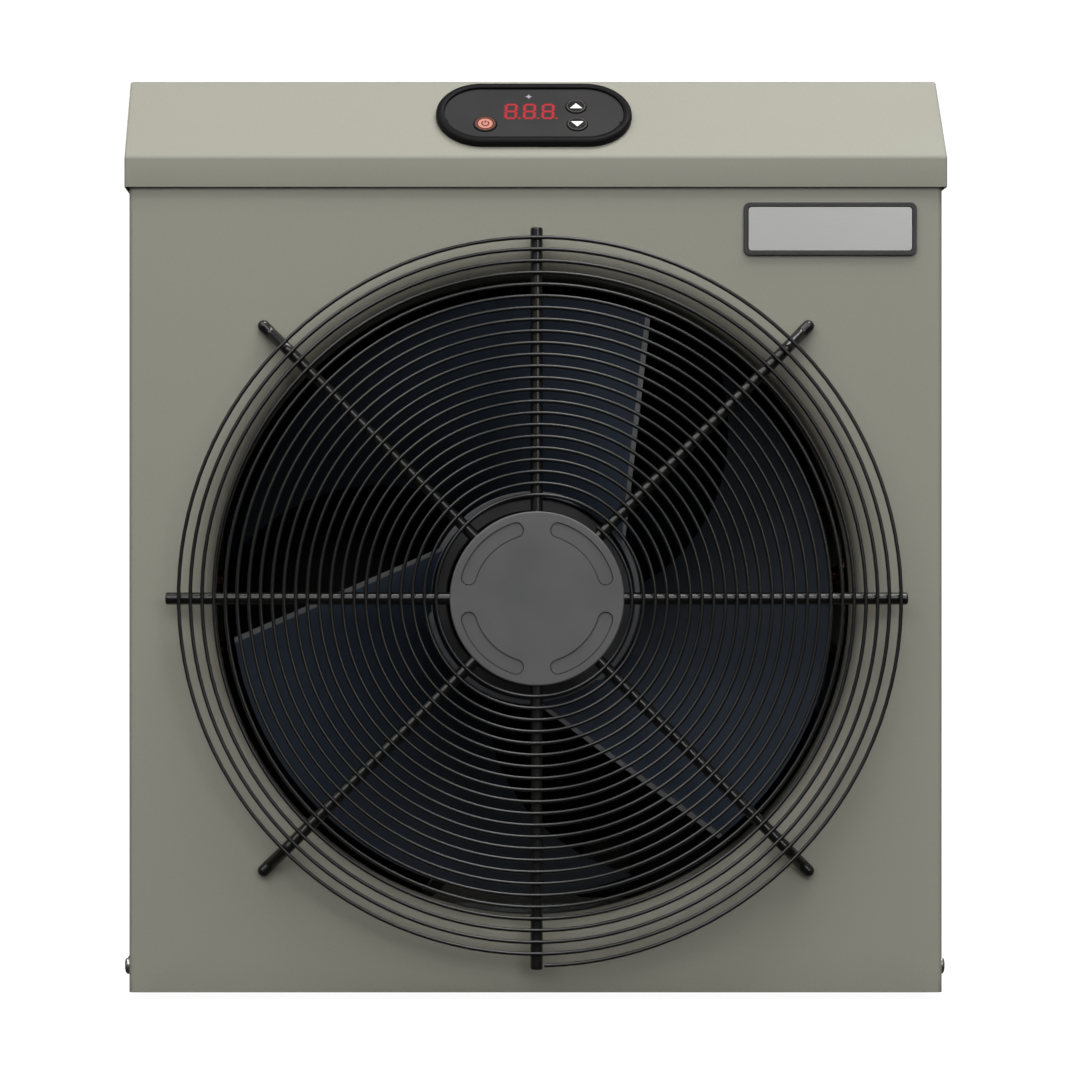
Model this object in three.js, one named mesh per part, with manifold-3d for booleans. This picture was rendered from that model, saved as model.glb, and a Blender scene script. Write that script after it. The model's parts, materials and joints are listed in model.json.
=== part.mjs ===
// A compact swimming-pool heat pump: a folded sheet-metal cabinet with an axial fan behind a wire guard.
// Millimetres, +Z up. The front faces -Y, and +X is to the right of a person who faces the front.
// The origin is the centre of the bounding box's bottom face. Cabinet parts are drawn about the cabinet's
// own centre line, and one outer group moves them back so that the guard and the hose tails reach equally
// far out.
import * as THREE from "three";
import { mergeVertices } from "three/addons/utils/BufferGeometryUtils.js";
import Module from "manifold-3d";

const wasm = await Module();
wasm.setup();

// ---------------------------------------------------------------- driving dimensions
const WIDTH = 400; // cabinet, outside
const DEPTH = 300;
const SHEET = 1.2; // steel sheet of the panels
const GAP = 0.3; // clearance between pieces that touch on the real unit
const FRONT = -DEPTH / 2;
const REAR = DEPTH / 2;

const PANEL_Z = 4; // lower edge of the panels, which the feet stand proud of
const PANEL_TOP = 412; // upper edge of the panels, hidden inside the lid
const LID_EDGE_Z = 400;
const FASCIA_TOP_Z = 415;
const TOP_Z = 457;
const LID_OVERHANG = 2.2; // at each side
const LID_PROUD = 2.4; // in front of the front panel, and behind the rear one
const SLOPE_RUN = 40; // depth that the sloping front of the lid takes up

const FAN_Z = 197.8; // height of the fan's axis
const LIP_RADIUS = 171; // where the pressed mouth leaves the flat of the front panel
const THROAT_RADIUS = 159.5;
const MOUTH_DEPTH = 46;
const MOUTH_SIDES = 36;

const GUARD_Y = FRONT - 17.5; // plane of the spiral wire's centre line
const SPIRAL_WIRE = 2;
const SPIRAL_OUTER = 178.8;
const SPIRAL_INNER = 45.5;
const SPIRAL_PITCH = 5.7;
const SPIRAL_STEPS = 24; // straight lengths in one turn
const SPOKE_ROD = 6;
const SPOKE_Y = GUARD_Y + (SPIRAL_WIRE + SPOKE_ROD) / 2 + GAP;
const SPOKE_END = 181.2;
const FOOT_END = 192; // reach of the slanting spokes, whose ends bend back onto the panel
const DISC_RADIUS = 42.5;
const DISC_BACK_Y = SPOKE_Y - SPOKE_ROD / 2 - GAP;
const DISC_FRONT_Y = DISC_BACK_Y - 2.5;

const BLADES = 3;
const TIP_RADIUS = 152;
const BLADE_FRONT_Y = -130;
const BLADE_REAR_Y = -84;
const HUB_RADIUS = 53.5;
const ROTOR_RADIUS = 50;
const ROTOR_FRONT_Y = -118;
const ROTOR_REAR_Y = -62;
const SHAFT_RADIUS = 4;
const BEARING_RADIUS = 11;
const BEARING_WIDTH = 7;

const PORT_Z = 44; // height of the two water unions
const INLET_X = -145;
const OUTLET_X = -60;
const PORT_BORE = 14;
const PORT_RADIUS = 21;
const PORT_INSIDE = 6; // how far a port reaches in past the rear panel
const WATER_PIPE = 12;
const TAIL_BORE = 12.5;
const TAIL_END_Y = REAR + 62;

const COIL_Y = [112, 138]; // front and back of the fin block
const COIL_X = 165; // half its width
const COIL_Z = [60, 395];
const COIL_TUBE = 4.5;
const COIL_PASSES = 8;

const COMPRESSOR = { x: 105, y: 30, radius: 48, base: 16, top: 205 };
const ACCUMULATOR = { x: 28, y: 52, radius: 23, bottom: 62, top: 196 };
const EXCHANGER = { x: -105, y: 30, radius: 50, bottom: 7.5, top: 232 };

const SLOPE_ANGLE = Math.atan2(TOP_Z - FASCIA_TOP_Z, SLOPE_RUN);
const CONTROL_X = -0.3;
const CONTROL_UP_SLOPE = 29.8; // from the slope's lower edge to the control panel's centre
const BEZEL = { length: 98, width: 46, height: 4 };
const BUTTONS = [
  { name: "power_button", x: -24.3, v: -8.5, radius: 5.7, colour: 0x3a2a2a },
  { name: "up_button", x: 21, v: 5, radius: 5.1, colour: 0x2a2a2c },
  { name: "down_button", x: 21.2, v: -8.6, radius: 5.1, colour: 0x2a2a2c },
];

const ROUND = 24; // sides of a medium round part

// ---------------------------------------------------------------- materials
const material = (color, roughness, metalness = 0) =>
  new THREE.MeshStandardMaterial({ color, roughness, metalness });
const PAINT = material(0x8e8d80, 0.55, 0.1);
const LID_PAINT = material(0xa9a798, 0.5, 0.1);
const BLACK_WIRE = material(0x1b1b1b, 0.35, 0.3);
const BLACK_PLASTIC = material(0x17171a, 0.4);
const GREY_PLATE = material(0x585858, 0.5, 0.2);
const BLADE_PLASTIC = material(0x15181f, 0.3);
const GLOSS_BLACK = material(0x0d0d0e, 0.15);
const RUBBER = material(0x202020, 0.85);
const STEEL = material(0xa8a8a8, 0.35, 0.9);
const GALVANISED = material(0x9aa0a3, 0.45, 0.8);
const COPPER = material(0xb5714a, 0.35, 0.9);
const FINS = material(0x5f7f95, 0.4, 0.7);
const BOARD = material(0x1f5a34, 0.5);
const SATIN_SILVER = material(0xb9b9b7, 0.3, 0.8);
const DISPLAY_RED = material(0x4a1414, 0.2);
const PVC = material(0x3a3c40, 0.5);

// ---------------------------------------------------------------- solids
// Turns a closed geometry's faces outwards.
function outward(geometry) {
  const bare = geometry.index ? geometry.toNonIndexed() : geometry.clone();
  for (const name of Object.keys(bare.attributes)) {
    if (name !== "position") bare.deleteAttribute(name);
  }
  const merged = mergeVertices(bare, 1e-4);
  const { array } = merged.attributes.position;
  const index = merged.index.array;
  const corner = (i) => new THREE.Vector3().fromArray(array, 3 * index[i]);
  let volume = 0;
  for (let i = 0; i < index.length; i += 3) {
    volume += corner(i).dot(corner(i + 1).cross(corner(i + 2)));
  }
  if (volume < 0) {
    for (let i = 0; i < index.length; i += 3) {
      [index[i], index[i + 1]] = [index[i + 1], index[i]];
    }
  }
  return merged;
}

function toSolid(geometry) {
  const closed = outward(geometry);
  return new wasm.Manifold(
    new wasm.Mesh({
      numProp: 3,
      vertProperties: closed.attributes.position.array,
      triVerts: new Uint32Array(closed.index.array),
    }),
  );
}

function toGeometry(solid) {
  const { vertProperties, triVerts } = solid.getMesh();
  return new THREE.BufferGeometry()
    .setAttribute("position", new THREE.BufferAttribute(vertProperties, 3))
    .setIndex(new THREE.BufferAttribute(triVerts, 1));
}

function join(...geometries) {
  return toGeometry(geometries.map(toSolid).reduce((a, b) => a.add(b)));
}

function cut(geometry, ...tools) {
  return toGeometry(tools.map(toSolid).reduce((a, b) => a.subtract(b), toSolid(geometry)));
}

// ---------------------------------------------------------------- shapes
const polygon = (points) => new THREE.Shape(points.map(([x, y]) => new THREE.Vector2(x, y)));

function box([x0, x1], [y0, y1], [z0, z1]) {
  const block = new THREE.BoxGeometry(x1 - x0, y1 - y0, z1 - z0);
  return block.translate((x0 + x1) / 2, (y0 + y1) / 2, (z0 + z1) / 2);
}

function rectangle(width, height, x = 0, y = 0) {
  return polygon([
    [x - width / 2, y - height / 2],
    [x + width / 2, y - height / 2],
    [x + width / 2, y + height / 2],
    [x - width / 2, y + height / 2],
  ]);
}

function roundedRectangle(width, height, radius, x = 0, y = 0) {
  const shape = new THREE.Shape();
  const right = x + width / 2 - radius;
  const top = y + height / 2 - radius;
  const left = x - width / 2 + radius;
  const bottom = y - height / 2 + radius;
  shape.absarc(right, bottom, radius, -Math.PI / 2, 0);
  shape.absarc(right, top, radius, 0, Math.PI / 2);
  shape.absarc(left, top, radius, Math.PI / 2, Math.PI);
  shape.absarc(left, bottom, radius, Math.PI, 1.5 * Math.PI);
  return shape;
}

const stadium = (length, width) => roundedRectangle(length, width, width / 2 - 0.01);

function disc(radius, x = 0, y = 0) {
  const shape = new THREE.Shape();
  shape.absarc(x, y, radius, 0, 2 * Math.PI);
  return shape;
}

// A shape drawn in X and Y, raised from z0 to z1.
function prism(shape, z0, z1, curveSegments = 6) {
  const settings = { depth: z1 - z0, bevelEnabled: false, curveSegments };
  return new THREE.ExtrudeGeometry(shape, settings).translate(0, 0, z0);
}

// A shape drawn in X and Z, from y0 back to y1.
function slab(shape, y0, y1, curveSegments = 6) {
  const turn = new THREE.Matrix4().makeBasis(
    new THREE.Vector3(1, 0, 0),
    new THREE.Vector3(0, 0, 1),
    new THREE.Vector3(0, -1, 0),
  );
  return prism(shape, -y1, -y0, curveSegments).applyMatrix4(turn);
}

// A side view drawn in Y and Z, from x0 to x1.
function profileBar(shape, x0, x1) {
  const turn = new THREE.Matrix4().makeBasis(
    new THREE.Vector3(0, 1, 0),
    new THREE.Vector3(0, 0, 1),
    new THREE.Vector3(1, 0, 0),
  );
  return prism(shape, x0, x1).applyMatrix4(turn);
}

// A profile of [radius, y] pairs turned about the Y axis.
function turned(profile, segments = ROUND) {
  const points = profile.map(([r, y]) => new THREE.Vector2(r, y));
  const onAxis = profile[0][0] === 0 && profile.at(-1)[0] === 0;
  if (!onAxis) points.push(points[0].clone());
  return outward(new THREE.LatheGeometry(points, segments));
}

// A profile of [radius, z] pairs turned about a vertical axis at x, y.
function upright(profile, x, y, segments = ROUND) {
  return turned(profile, segments)
    .rotateX(Math.PI / 2)
    .translate(x, y, 0);
}

const rod = (radius, y0, y1, segments = ROUND) =>
  turned([[0, y0], [radius, y0], [radius, y1], [0, y1]], segments);
const post = (radius, x, y, z0, z1, segments = ROUND) =>
  upright([[0, z0], [radius, z0], [radius, z1], [0, z1]], x, y, segments);

// A curve through listed points, sampled at those points.
class ListedPath extends THREE.Curve {
  constructor(points) {
    super();
    this.points = points;
  }
  getPoint(t) {
    const last = this.points.length - 1;
    const place = Math.min(Math.max(t, 0), 1) * last;
    const i = Math.min(Math.floor(place), last - 1);
    return this.points[i].clone().lerp(this.points[i + 1], place - i);
  }
  getUtoTmapping(u) {
    return u;
  }
}

// A round bar along listed points.
function bar(points, radius, sides) {
  const section = new THREE.Shape();
  section.absarc(0, 0, radius, 0, 2 * Math.PI);
  return outward(
    new THREE.ExtrudeGeometry(section, {
      extrudePath: new ListedPath(points),
      steps: points.length - 1,
      curveSegments: sides / 2,
    }),
  );
}

// The points of a route with its corners rounded.
function roundedRoute(corners, radius, arcSteps = 4) {
  const points = corners.map((c) => new THREE.Vector3(...c));
  const route = [points[0]];
  for (let i = 1; i < points.length - 1; i++) {
    const back = points[i - 1].clone().sub(points[i]).normalize();
    const on = points[i + 1].clone().sub(points[i]).normalize();
    const half = back.angleTo(on) / 2;
    const reach = radius / Math.tan(half);
    const start = points[i].clone().addScaledVector(back, reach);
    const end = points[i].clone().addScaledVector(on, reach);
    const bend = new THREE.QuadraticBezierCurve3(start, points[i], end);
    route.push(...bend.getPoints(arcSteps));
  }
  route.push(points.at(-1));
  return route;
}

const pipe = (corners, radius, bendRadius, sides = 10) =>
  bar(roundedRoute(corners, bendRadius), radius, sides);

// Rings of equally many points joined into one closed body. Its ends are closed by strips across the ring.
function loft(rings) {
  const count = rings[0].length;
  const positions = rings.flat().flatMap((p) => [p.x, p.y, p.z]);
  const index = [];
  for (let k = 0; k < rings.length - 1; k++) {
    for (let i = 0; i < count; i++) {
      const a = k * count + i;
      const b = k * count + ((i + 1) % count);
      index.push(a, b, b + count, a, b + count, a + count);
    }
  }
  const last = (rings.length - 1) * count;
  for (let i = 0; i < count / 2 - 1; i++) {
    const j = count - 1 - i;
    index.push(i, j, i + 1, i + 1, j, j - 1);
    index.push(last + i, last + i + 1, last + j, last + i + 1, last + j - 1, last + j);
  }
  const geometry = new THREE.BufferGeometry();
  geometry.setAttribute("position", new THREE.Float32BufferAttribute(positions, 3));
  geometry.setIndex(index);
  return outward(geometry);
}

// ---------------------------------------------------------------- scene graph
const unit = new THREE.Group();
const cabinet = new THREE.Group();
const fan = new THREE.Group();
const controls = new THREE.Group();
cabinet.position.y = -(DISC_FRONT_Y + TAIL_END_Y) / 2;
fan.position.z = FAN_Z;
controls.position.set(
  CONTROL_X,
  FRONT - LID_PROUD + CONTROL_UP_SLOPE * Math.cos(SLOPE_ANGLE),
  FASCIA_TOP_Z + CONTROL_UP_SLOPE * Math.sin(SLOPE_ANGLE),
);
controls.rotation.x = SLOPE_ANGLE;
unit.add(cabinet);
cabinet.add(fan, controls);

function add(group, name, geometry, look) {
  const mesh = new THREE.Mesh(geometry, look);
  mesh.name = name;
  group.add(mesh);
}

// ---------------------------------------------------------------- base and feet
const FOOT_X = 165;
const FOOT_Y = 85;
const PAN_FLOOR = [6, 7.2];
const PAN_RIM_Z = 22;
const FOOT_HOLE = 4.5;
const PAN_X = WIDTH / 2 - SHEET - 1;
const PAN_Y = [FRONT + SHEET + 1, REAR - 2 * SHEET - 2 * GAP];
const SCREW_Y = FRONT + 15;
const SCREW_Z = PANEL_Z + 12;
const SCREW_HOLE = 2.4;
const DRAIN = { x: 20, z: 13.4, radius: 6, bore: 4, y: [REAR - 10, REAR + 18] };

const crossHole = (radius, y, z, x0, x1) =>
  rod(radius, x0, x1, 8).rotateZ(-Math.PI / 2).translate(0, y, z);

function basePan() {
  const shell = box([-PAN_X, PAN_X], PAN_Y, [PAN_FLOOR[0], PAN_RIM_Z]);
  const inside = box(
    [-PAN_X + SHEET, PAN_X - SHEET],
    [PAN_Y[0] + SHEET, PAN_Y[1] - SHEET],
    [PAN_FLOOR[1], PAN_RIM_Z + 1],
  );
  const footHoles = [-1, 1].flatMap((sx) =>
    [-1, 1].map((sy) => post(FOOT_HOLE, sx * FOOT_X, sy * FOOT_Y, 0, PAN_RIM_Z, 8)),
  );
  const screwHoles = crossHole(SCREW_HOLE, SCREW_Y, SCREW_Z, -WIDTH, WIDTH);
  const tray = cut(shell, inside, ...footHoles, screwHoles);
  const [near, far] = DRAIN.y;
  const spigot = rod(DRAIN.radius, near, far, 12).translate(DRAIN.x, 0, DRAIN.z);
  const drain = rod(DRAIN.bore, near - 1, far + 1, 12).translate(DRAIN.x, 0, DRAIN.z);
  return cut(join(tray, spigot), drain);
}

function foot(x, y) {
  return upright(
    [
      [0, 0],
      [10, 0],
      [12, 1.5],
      [12, PAN_FLOOR[0] - GAP],
      [FOOT_HOLE - 0.5, PAN_FLOOR[0] - GAP],
      [FOOT_HOLE - 0.5, 11],
      [0, 11],
    ],
    x,
    y,
    14,
  );
}

add(cabinet, "base_pan", basePan(), GALVANISED);
for (const [side, sx] of [["left", -1], ["right", 1]]) {
  add(cabinet, "foot_front_" + side, foot(sx * FOOT_X, -FOOT_Y), RUBBER);
  add(cabinet, "foot_rear_" + side, foot(sx * FOOT_X, FOOT_Y), RUBBER);
}

// ---------------------------------------------------------------- cabinet panels
const RETURN = 30; // depth of the front panel's side returns
const BEND = 2.5; // outer radius of a fold
const LEAD_RADIUS = 2.2;
const LEAD_UP = 177.8; // how far above the fan's axis the motor's lead enters the cabinet

function frontPanel() {
  const w = WIDTH / 2;
  const back = FRONT + RETURN;
  const inner = BEND - SHEET;
  const plan = new THREE.Shape();
  plan.moveTo(-w, back);
  plan.absarc(-w + BEND, FRONT + BEND, BEND, Math.PI, 1.5 * Math.PI);
  plan.absarc(w - BEND, FRONT + BEND, BEND, -Math.PI / 2, 0);
  plan.lineTo(w, back);
  plan.lineTo(w - SHEET, back);
  plan.absarc(w - BEND, FRONT + BEND, inner, 0, -Math.PI / 2, true);
  plan.absarc(-w + BEND, FRONT + BEND, inner, -Math.PI / 2, -Math.PI, true);
  plan.lineTo(-w + SHEET, back);
  const sheet = cut(
    prism(plan, PANEL_Z, PANEL_TOP, 4),
    rod(LIP_RADIUS + 2, FRONT - 5, FRONT + 5, MOUTH_SIDES).translate(0, 0, FAN_Z),
    rod(LEAD_RADIUS + 0.9, FRONT - 5, FRONT + 5, 8).translate(0, 0, FAN_Z + LEAD_UP),
    crossHole(SCREW_HOLE, SCREW_Y, SCREW_Z, -WIDTH, WIDTH),
  );
  return join(sheet, mouth());
}

// The rolled mouth: a flat collar that meets the sheet, a quarter round, and a short throat.
function mouth() {
  const roll = LIP_RADIUS - THROAT_RADIUS;
  const steps = 3;
  const face = [];
  const back = [];
  for (let i = 0; i <= steps; i++) {
    const a = (i / steps) * (Math.PI / 2);
    face.push([LIP_RADIUS - roll * Math.sin(a), FRONT + roll - roll * Math.cos(a)]);
    const r = roll - SHEET;
    back.unshift([LIP_RADIUS - r * Math.sin(a), FRONT + roll - r * Math.cos(a)]);
  }
  return turned(
    [
      [LIP_RADIUS + 3, FRONT],
      ...face,
      [THROAT_RADIUS, FRONT + MOUTH_DEPTH],
      [THROAT_RADIUS + SHEET, FRONT + MOUTH_DEPTH],
      ...back,
      [LIP_RADIUS + 3, FRONT + SHEET],
    ],
    MOUTH_SIDES,
  ).translate(0, 0, FAN_Z);
}

const SIDE_FRONT = FRONT + RETURN + GAP;
const SIDE_LAP = 14; // tongue that laps behind the front panel's return, and width of the rear return
const LOUVRES = 8;
const LOUVRE = { length: 70, height: 3.4, pitch: 14, y: 55, z: 150 };

function sidePanel(side) {
  const w = WIDTH / 2;
  const inner = w - SHEET;
  const lap = inner - GAP;
  const plan = polygon([
    [w, SIDE_FRONT],
    [w, REAR],
    [w - SIDE_LAP, REAR],
    [w - SIDE_LAP, REAR - SHEET],
    [inner, REAR - SHEET],
    [inner, SIDE_FRONT + 2],
    [lap - SHEET, SIDE_FRONT + 2],
    [lap - SHEET, SIDE_FRONT - SIDE_LAP],
    [lap, SIDE_FRONT - SIDE_LAP],
    [lap, SIDE_FRONT],
  ]);
  const slots = [];
  for (let i = 0; i < LOUVRES; i++) {
    const z = LOUVRE.z + i * LOUVRE.pitch;
    const run = [LOUVRE.y - LOUVRE.length / 2, LOUVRE.y + LOUVRE.length / 2];
    slots.push(box([inner - 5, w + 5], run, [z, z + LOUVRE.height]));
  }
  const notch = box([lap - 2 * SHEET, inner], [FRONT, SIDE_FRONT + 3], [0, PAN_RIM_Z + 1]);
  const panel = cut(prism(plan, PANEL_Z, PANEL_TOP), ...slots, notch);
  return side < 0 ? outward(panel.applyMatrix4(new THREE.Matrix4().makeScale(-1, 1, 1))) : panel;
}

const WINDOW = { width: 310, z: [80, 384] };
const REAR_PLATE = [REAR - 2 * SHEET - GAP, REAR - SHEET - GAP];
const GLAND = {
  x: 140,
  z: PORT_Z,
  radius: 8,
  hexagonRadius: 12.5,
  domeRadius: 10.5,
  hexagonY: REAR + 7,
  domeY: REAR + 20,
};

function rearPanel() {
  const outline = polygon([
    [-WIDTH / 2 + 2, PANEL_Z],
    [WIDTH / 2 - 2, PANEL_Z],
    [WIDTH / 2 - 2, PANEL_TOP],
    [-WIDTH / 2 + 2, PANEL_TOP],
  ]);
  const [low, high] = WINDOW.z;
  outline.holes.push(
    rectangle(WINDOW.width, high - low, 0, (low + high) / 2),
    disc(PORT_RADIUS + GAP, INLET_X, PORT_Z),
    disc(PORT_RADIUS + GAP, OUTLET_X, PORT_Z),
    disc(GLAND.radius + GAP, GLAND.x, GLAND.z),
    disc(DRAIN.radius + GAP, DRAIN.x, DRAIN.z),
  );
  return slab(outline, ...REAR_PLATE, 10);
}

const MESH_Y = [REAR + 0.6, REAR + 3];
const MESH_COLUMNS = 9;
const MESH_ROWS = 4;
const MESH_WIRE = 2.2;
const MESH_LAP = 8;

// The wire guard over the coil: vertical and horizontal wires welded where they cross.
function rearGuard() {
  const [low, high] = [WINDOW.z[0] - MESH_LAP, WINDOW.z[1] + MESH_LAP];
  const half = WINDOW.width / 2 + MESH_LAP;
  const wires = [];
  for (let i = 0; i <= MESH_COLUMNS; i++) {
    const x = -half + (i * (2 * half - MESH_WIRE)) / MESH_COLUMNS;
    wires.push(box([x, x + MESH_WIRE], MESH_Y, [low, high]));
  }
  for (let j = 0; j <= MESH_ROWS; j++) {
    const z = low + (j * (high - low - MESH_WIRE)) / MESH_ROWS;
    wires.push(box([-half, half], MESH_Y, [z, z + MESH_WIRE]));
  }
  return join(...wires);
}

// The lid: a fascia, the slope that carries the controls, a flat top, and a skirt all round.
function topCover() {
  const front = FRONT - LID_PROUD;
  const rear = REAR + LID_PROUD;
  const sideView = (wall, edge) => {
    const turn = wall * Math.tan(SLOPE_ANGLE / 2);
    return polygon([
      [front + wall, edge],
      [front + wall, FASCIA_TOP_Z - turn],
      [front + SLOPE_RUN + turn, TOP_Z - wall],
      [rear - wall, TOP_Z - wall],
      [rear - wall, edge],
    ]);
  };
  const half = WIDTH / 2 + LID_OVERHANG;
  const outer = profileBar(sideView(0, LID_EDGE_Z), -half, half);
  const inner = profileBar(sideView(SHEET, LID_EDGE_Z - 5), -half + SHEET, half - SHEET);
  const cutout = prism(stadium(BEZEL.length - 6, BEZEL.width - 6), -10, 10, 4) // the bezel covers its edge
    .rotateX(SLOPE_ANGLE)
    .translate(...controls.position);
  return cut(outer, inner, cutout);
}

const BADGE = { x: 144.7, z: 379.4, width: 85, height: 26, radius: 3, thickness: 1.6 };

function badgePlate() {
  const outline = roundedRectangle(BADGE.width, BADGE.height, BADGE.radius, BADGE.x, BADGE.z);
  return slab(outline, FRONT - GAP - BADGE.thickness, FRONT - GAP, 2);
}

add(cabinet, "front_panel", frontPanel(), PAINT);
add(cabinet, "side_panel_left", sidePanel(-1), PAINT);
add(cabinet, "side_panel_right", sidePanel(1), PAINT);
add(cabinet, "rear_panel", rearPanel(), PAINT);
add(cabinet, "rear_guard", rearGuard(), BLACK_WIRE);
add(cabinet, "top_cover", topCover(), LID_PAINT);
add(cabinet, "badge_plate", badgePlate(), SATIN_SILVER);

// A pan-head screw through the side return into the base pan's rim.
function sideScrew(sx) {
  const profile = [
    [0, -9],
    [1.9, -9],
    [1.9, GAP],
    [4.5, GAP],
    [4.5, 1.6],
    [3.2, 3],
    [0, 3],
  ];
  return turned(profile, 12)
    .rotateZ((-sx * Math.PI) / 2)
    .translate((sx * WIDTH) / 2, SCREW_Y, SCREW_Z);
}

add(cabinet, "side_screw_left", sideScrew(-1), STEEL);
add(cabinet, "side_screw_right", sideScrew(1), STEEL);

// ---------------------------------------------------------------- fan guard
// A flat spiral of wire that starts at the foot of the guard and winds in anticlockwise.
class GuardSpiral extends THREE.Curve {
  getPoint(t) {
    const radius = SPIRAL_OUTER + (SPIRAL_INNER - SPIRAL_OUTER) * t;
    const turns = (SPIRAL_OUTER - radius) / SPIRAL_PITCH;
    const angle = -Math.PI / 2 + 0.02 + 2 * Math.PI * turns;
    return new THREE.Vector3(radius * Math.cos(angle), GUARD_Y, radius * Math.sin(angle));
  }
  getUtoTmapping(u) {
    return u;
  }
}

function guardSpiral() {
  const turns = (SPIRAL_OUTER - SPIRAL_INNER) / SPIRAL_PITCH;
  const section = polygon([[-SPIRAL_WIRE / 2, -0.8], [SPIRAL_WIRE / 2, -0.8], [0, SPIRAL_WIRE / 2]]);
  return outward(
    new THREE.ExtrudeGeometry(section, {
      extrudePath: new GuardSpiral(),
      steps: Math.round(SPIRAL_STEPS * turns),
    }),
  );
}

const SPOKE_START = 33;
const SPOKE_SIDES = 6;
const HUB_PLATE = { radius: 36, thickness: 3 };

// A straight rod, cut off square just past the spiral.
function straightSpoke(angle) {
  const points = [SPOKE_START, SPOKE_END].map((r) => new THREE.Vector3(r, SPOKE_Y, 0));
  return bar(points, SPOKE_ROD / 2, SPOKE_SIDES).rotateY(-angle);
}

// A rod whose end steps back past the spiral and lies on the panel, where it is fixed.
function footedSpoke(angle) {
  const seat = FRONT - GAP - SPOKE_ROD / 2;
  const route = [
    [SPOKE_START, SPOKE_Y],
    [171, SPOKE_Y],
    [176, SPOKE_Y + 2],
    [182, seat - 2],
    [186, seat],
    [FOOT_END, seat],
  ];
  const points = route.map(([r, y]) => new THREE.Vector3(r, y, 0));
  return bar(points, SPOKE_ROD / 2, SPOKE_SIDES).rotateY(-angle);
}

// Eight rods welded to a round plate behind the centre disc.
function guardSpokes() {
  const half = HUB_PLATE.thickness / 2;
  const spokes = [...Array(8).keys()].map((i) => {
    const angle = (i * Math.PI) / 4;
    return i % 2 ? footedSpoke(angle) : straightSpoke(angle);
  });
  return join(rod(HUB_PLATE.radius, SPOKE_Y - half, SPOKE_Y + half), ...spokes);
}

const KIDNEY = { radius: 34.8, width: 7.4, from: 17, to: 74, depth: 0.8 };

// A curved slot with round ends, drawn about the fan's axis.
function kidney(quarter) {
  const { radius, width } = KIDNEY;
  const from = THREE.MathUtils.degToRad(KIDNEY.from + 90 * quarter);
  const to = THREE.MathUtils.degToRad(KIDNEY.to + 90 * quarter);
  const shape = new THREE.Shape();
  shape.absarc(0, 0, radius + width / 2, from, to);
  shape.absarc(radius * Math.cos(to), radius * Math.sin(to), width / 2, to, to + Math.PI);
  shape.absarc(0, 0, radius - width / 2, to, from, true);
  const near = [radius * Math.cos(from), radius * Math.sin(from)];
  shape.absarc(...near, width / 2, from + Math.PI, from + 2 * Math.PI);
  return shape;
}

function guardDisc() {
  const plate = turned(
    [
      [0, DISC_FRONT_Y],
      [DISC_RADIUS - 0.8, DISC_FRONT_Y],
      [DISC_RADIUS, DISC_FRONT_Y + 0.8],
      [DISC_RADIUS, DISC_BACK_Y],
      [0, DISC_BACK_Y],
    ],
    40,
  );
  const slots = [0, 1, 2, 3].map((quarter) =>
    slab(kidney(quarter), DISC_FRONT_Y - 1, DISC_FRONT_Y + KIDNEY.depth, 3),
  );
  return cut(plate, ...slots);
}

add(fan, "guard_spiral", guardSpiral(), BLACK_WIRE);
add(fan, "guard_spokes", guardSpokes(), BLACK_WIRE);
add(fan, "guard_centre_disc", guardDisc(), GREY_PLATE);

// ---------------------------------------------------------------- fan and motor
const SHROUD = { bore: 160.5, wall: 2.5, skirt: 171.5, front: FRONT + SHEET + GAP, rear: -85 };

// The duct behind the mouth: a skirt that stands on the panel's back, a flat ring, and the blade tunnel.
function fanShroud() {
  const ringY = FRONT + MOUTH_DEPTH + GAP;
  const { bore, wall, skirt, front, rear } = SHROUD;
  return turned(
    [
      [skirt, front],
      [skirt, ringY],
      [bore, ringY],
      [bore, rear],
      [bore + wall, rear],
      [bore + wall, ringY + wall],
      [skirt + 2, ringY + wall],
      [skirt + 2, front],
    ],
    MOUTH_SIDES,
  );
}

const BRACKET_RADIUS = 38;
const BRACKET_Y = [SPOKE_Y + SPOKE_ROD / 2 + GAP, ROTOR_FRONT_Y + 2 - GAP];
const STATOR_Y = [ROTOR_FRONT_Y + 2, ROTOR_REAR_Y - 8];

function motorBracket() {
  const [front, rear] = BRACKET_Y;
  return turned([
    [0, front],
    [BRACKET_RADIUS, front],
    [BRACKET_RADIUS, front + 8],
    [29, front + 12],
    [29, rear - 5],
    [42, rear - 3],
    [42, rear],
    [0, rear],
  ]);
}

function motorStator() {
  const [front, rear] = STATOR_Y;
  return turned([
    [BEARING_RADIUS + GAP, front],
    [40, front],
    [44, front + 6],
    [44, rear - 6],
    [40, rear],
    [BEARING_RADIUS + GAP, rear],
  ]);
}

function bearing(front) {
  const rear = front + BEARING_WIDTH;
  const bore = SHAFT_RADIUS + GAP;
  return turned([[bore, front], [BEARING_RADIUS, front], [BEARING_RADIUS, rear], [bore, rear]], 16);
}

// The motor's outer rotor: a cup over the stator, with a boss on the shaft.
function motorRotor() {
  const bore = SHAFT_RADIUS + GAP;
  return turned(
    [
      [ROTOR_RADIUS - 3.5, ROTOR_FRONT_Y],
      [ROTOR_RADIUS, ROTOR_FRONT_Y],
      [ROTOR_RADIUS, ROTOR_REAR_Y - 4],
      [ROTOR_RADIUS - 4, ROTOR_REAR_Y],
      [bore, ROTOR_REAR_Y],
      [bore, ROTOR_REAR_Y - 7],
      [12, ROTOR_REAR_Y - 7],
      [14, ROTOR_REAR_Y - 3.5],
      [ROTOR_RADIUS - 6, ROTOR_REAR_Y - 3.5],
      [ROTOR_RADIUS - 3.5, ROTOR_REAR_Y - 6],
    ],
    30,
  );
}

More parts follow.
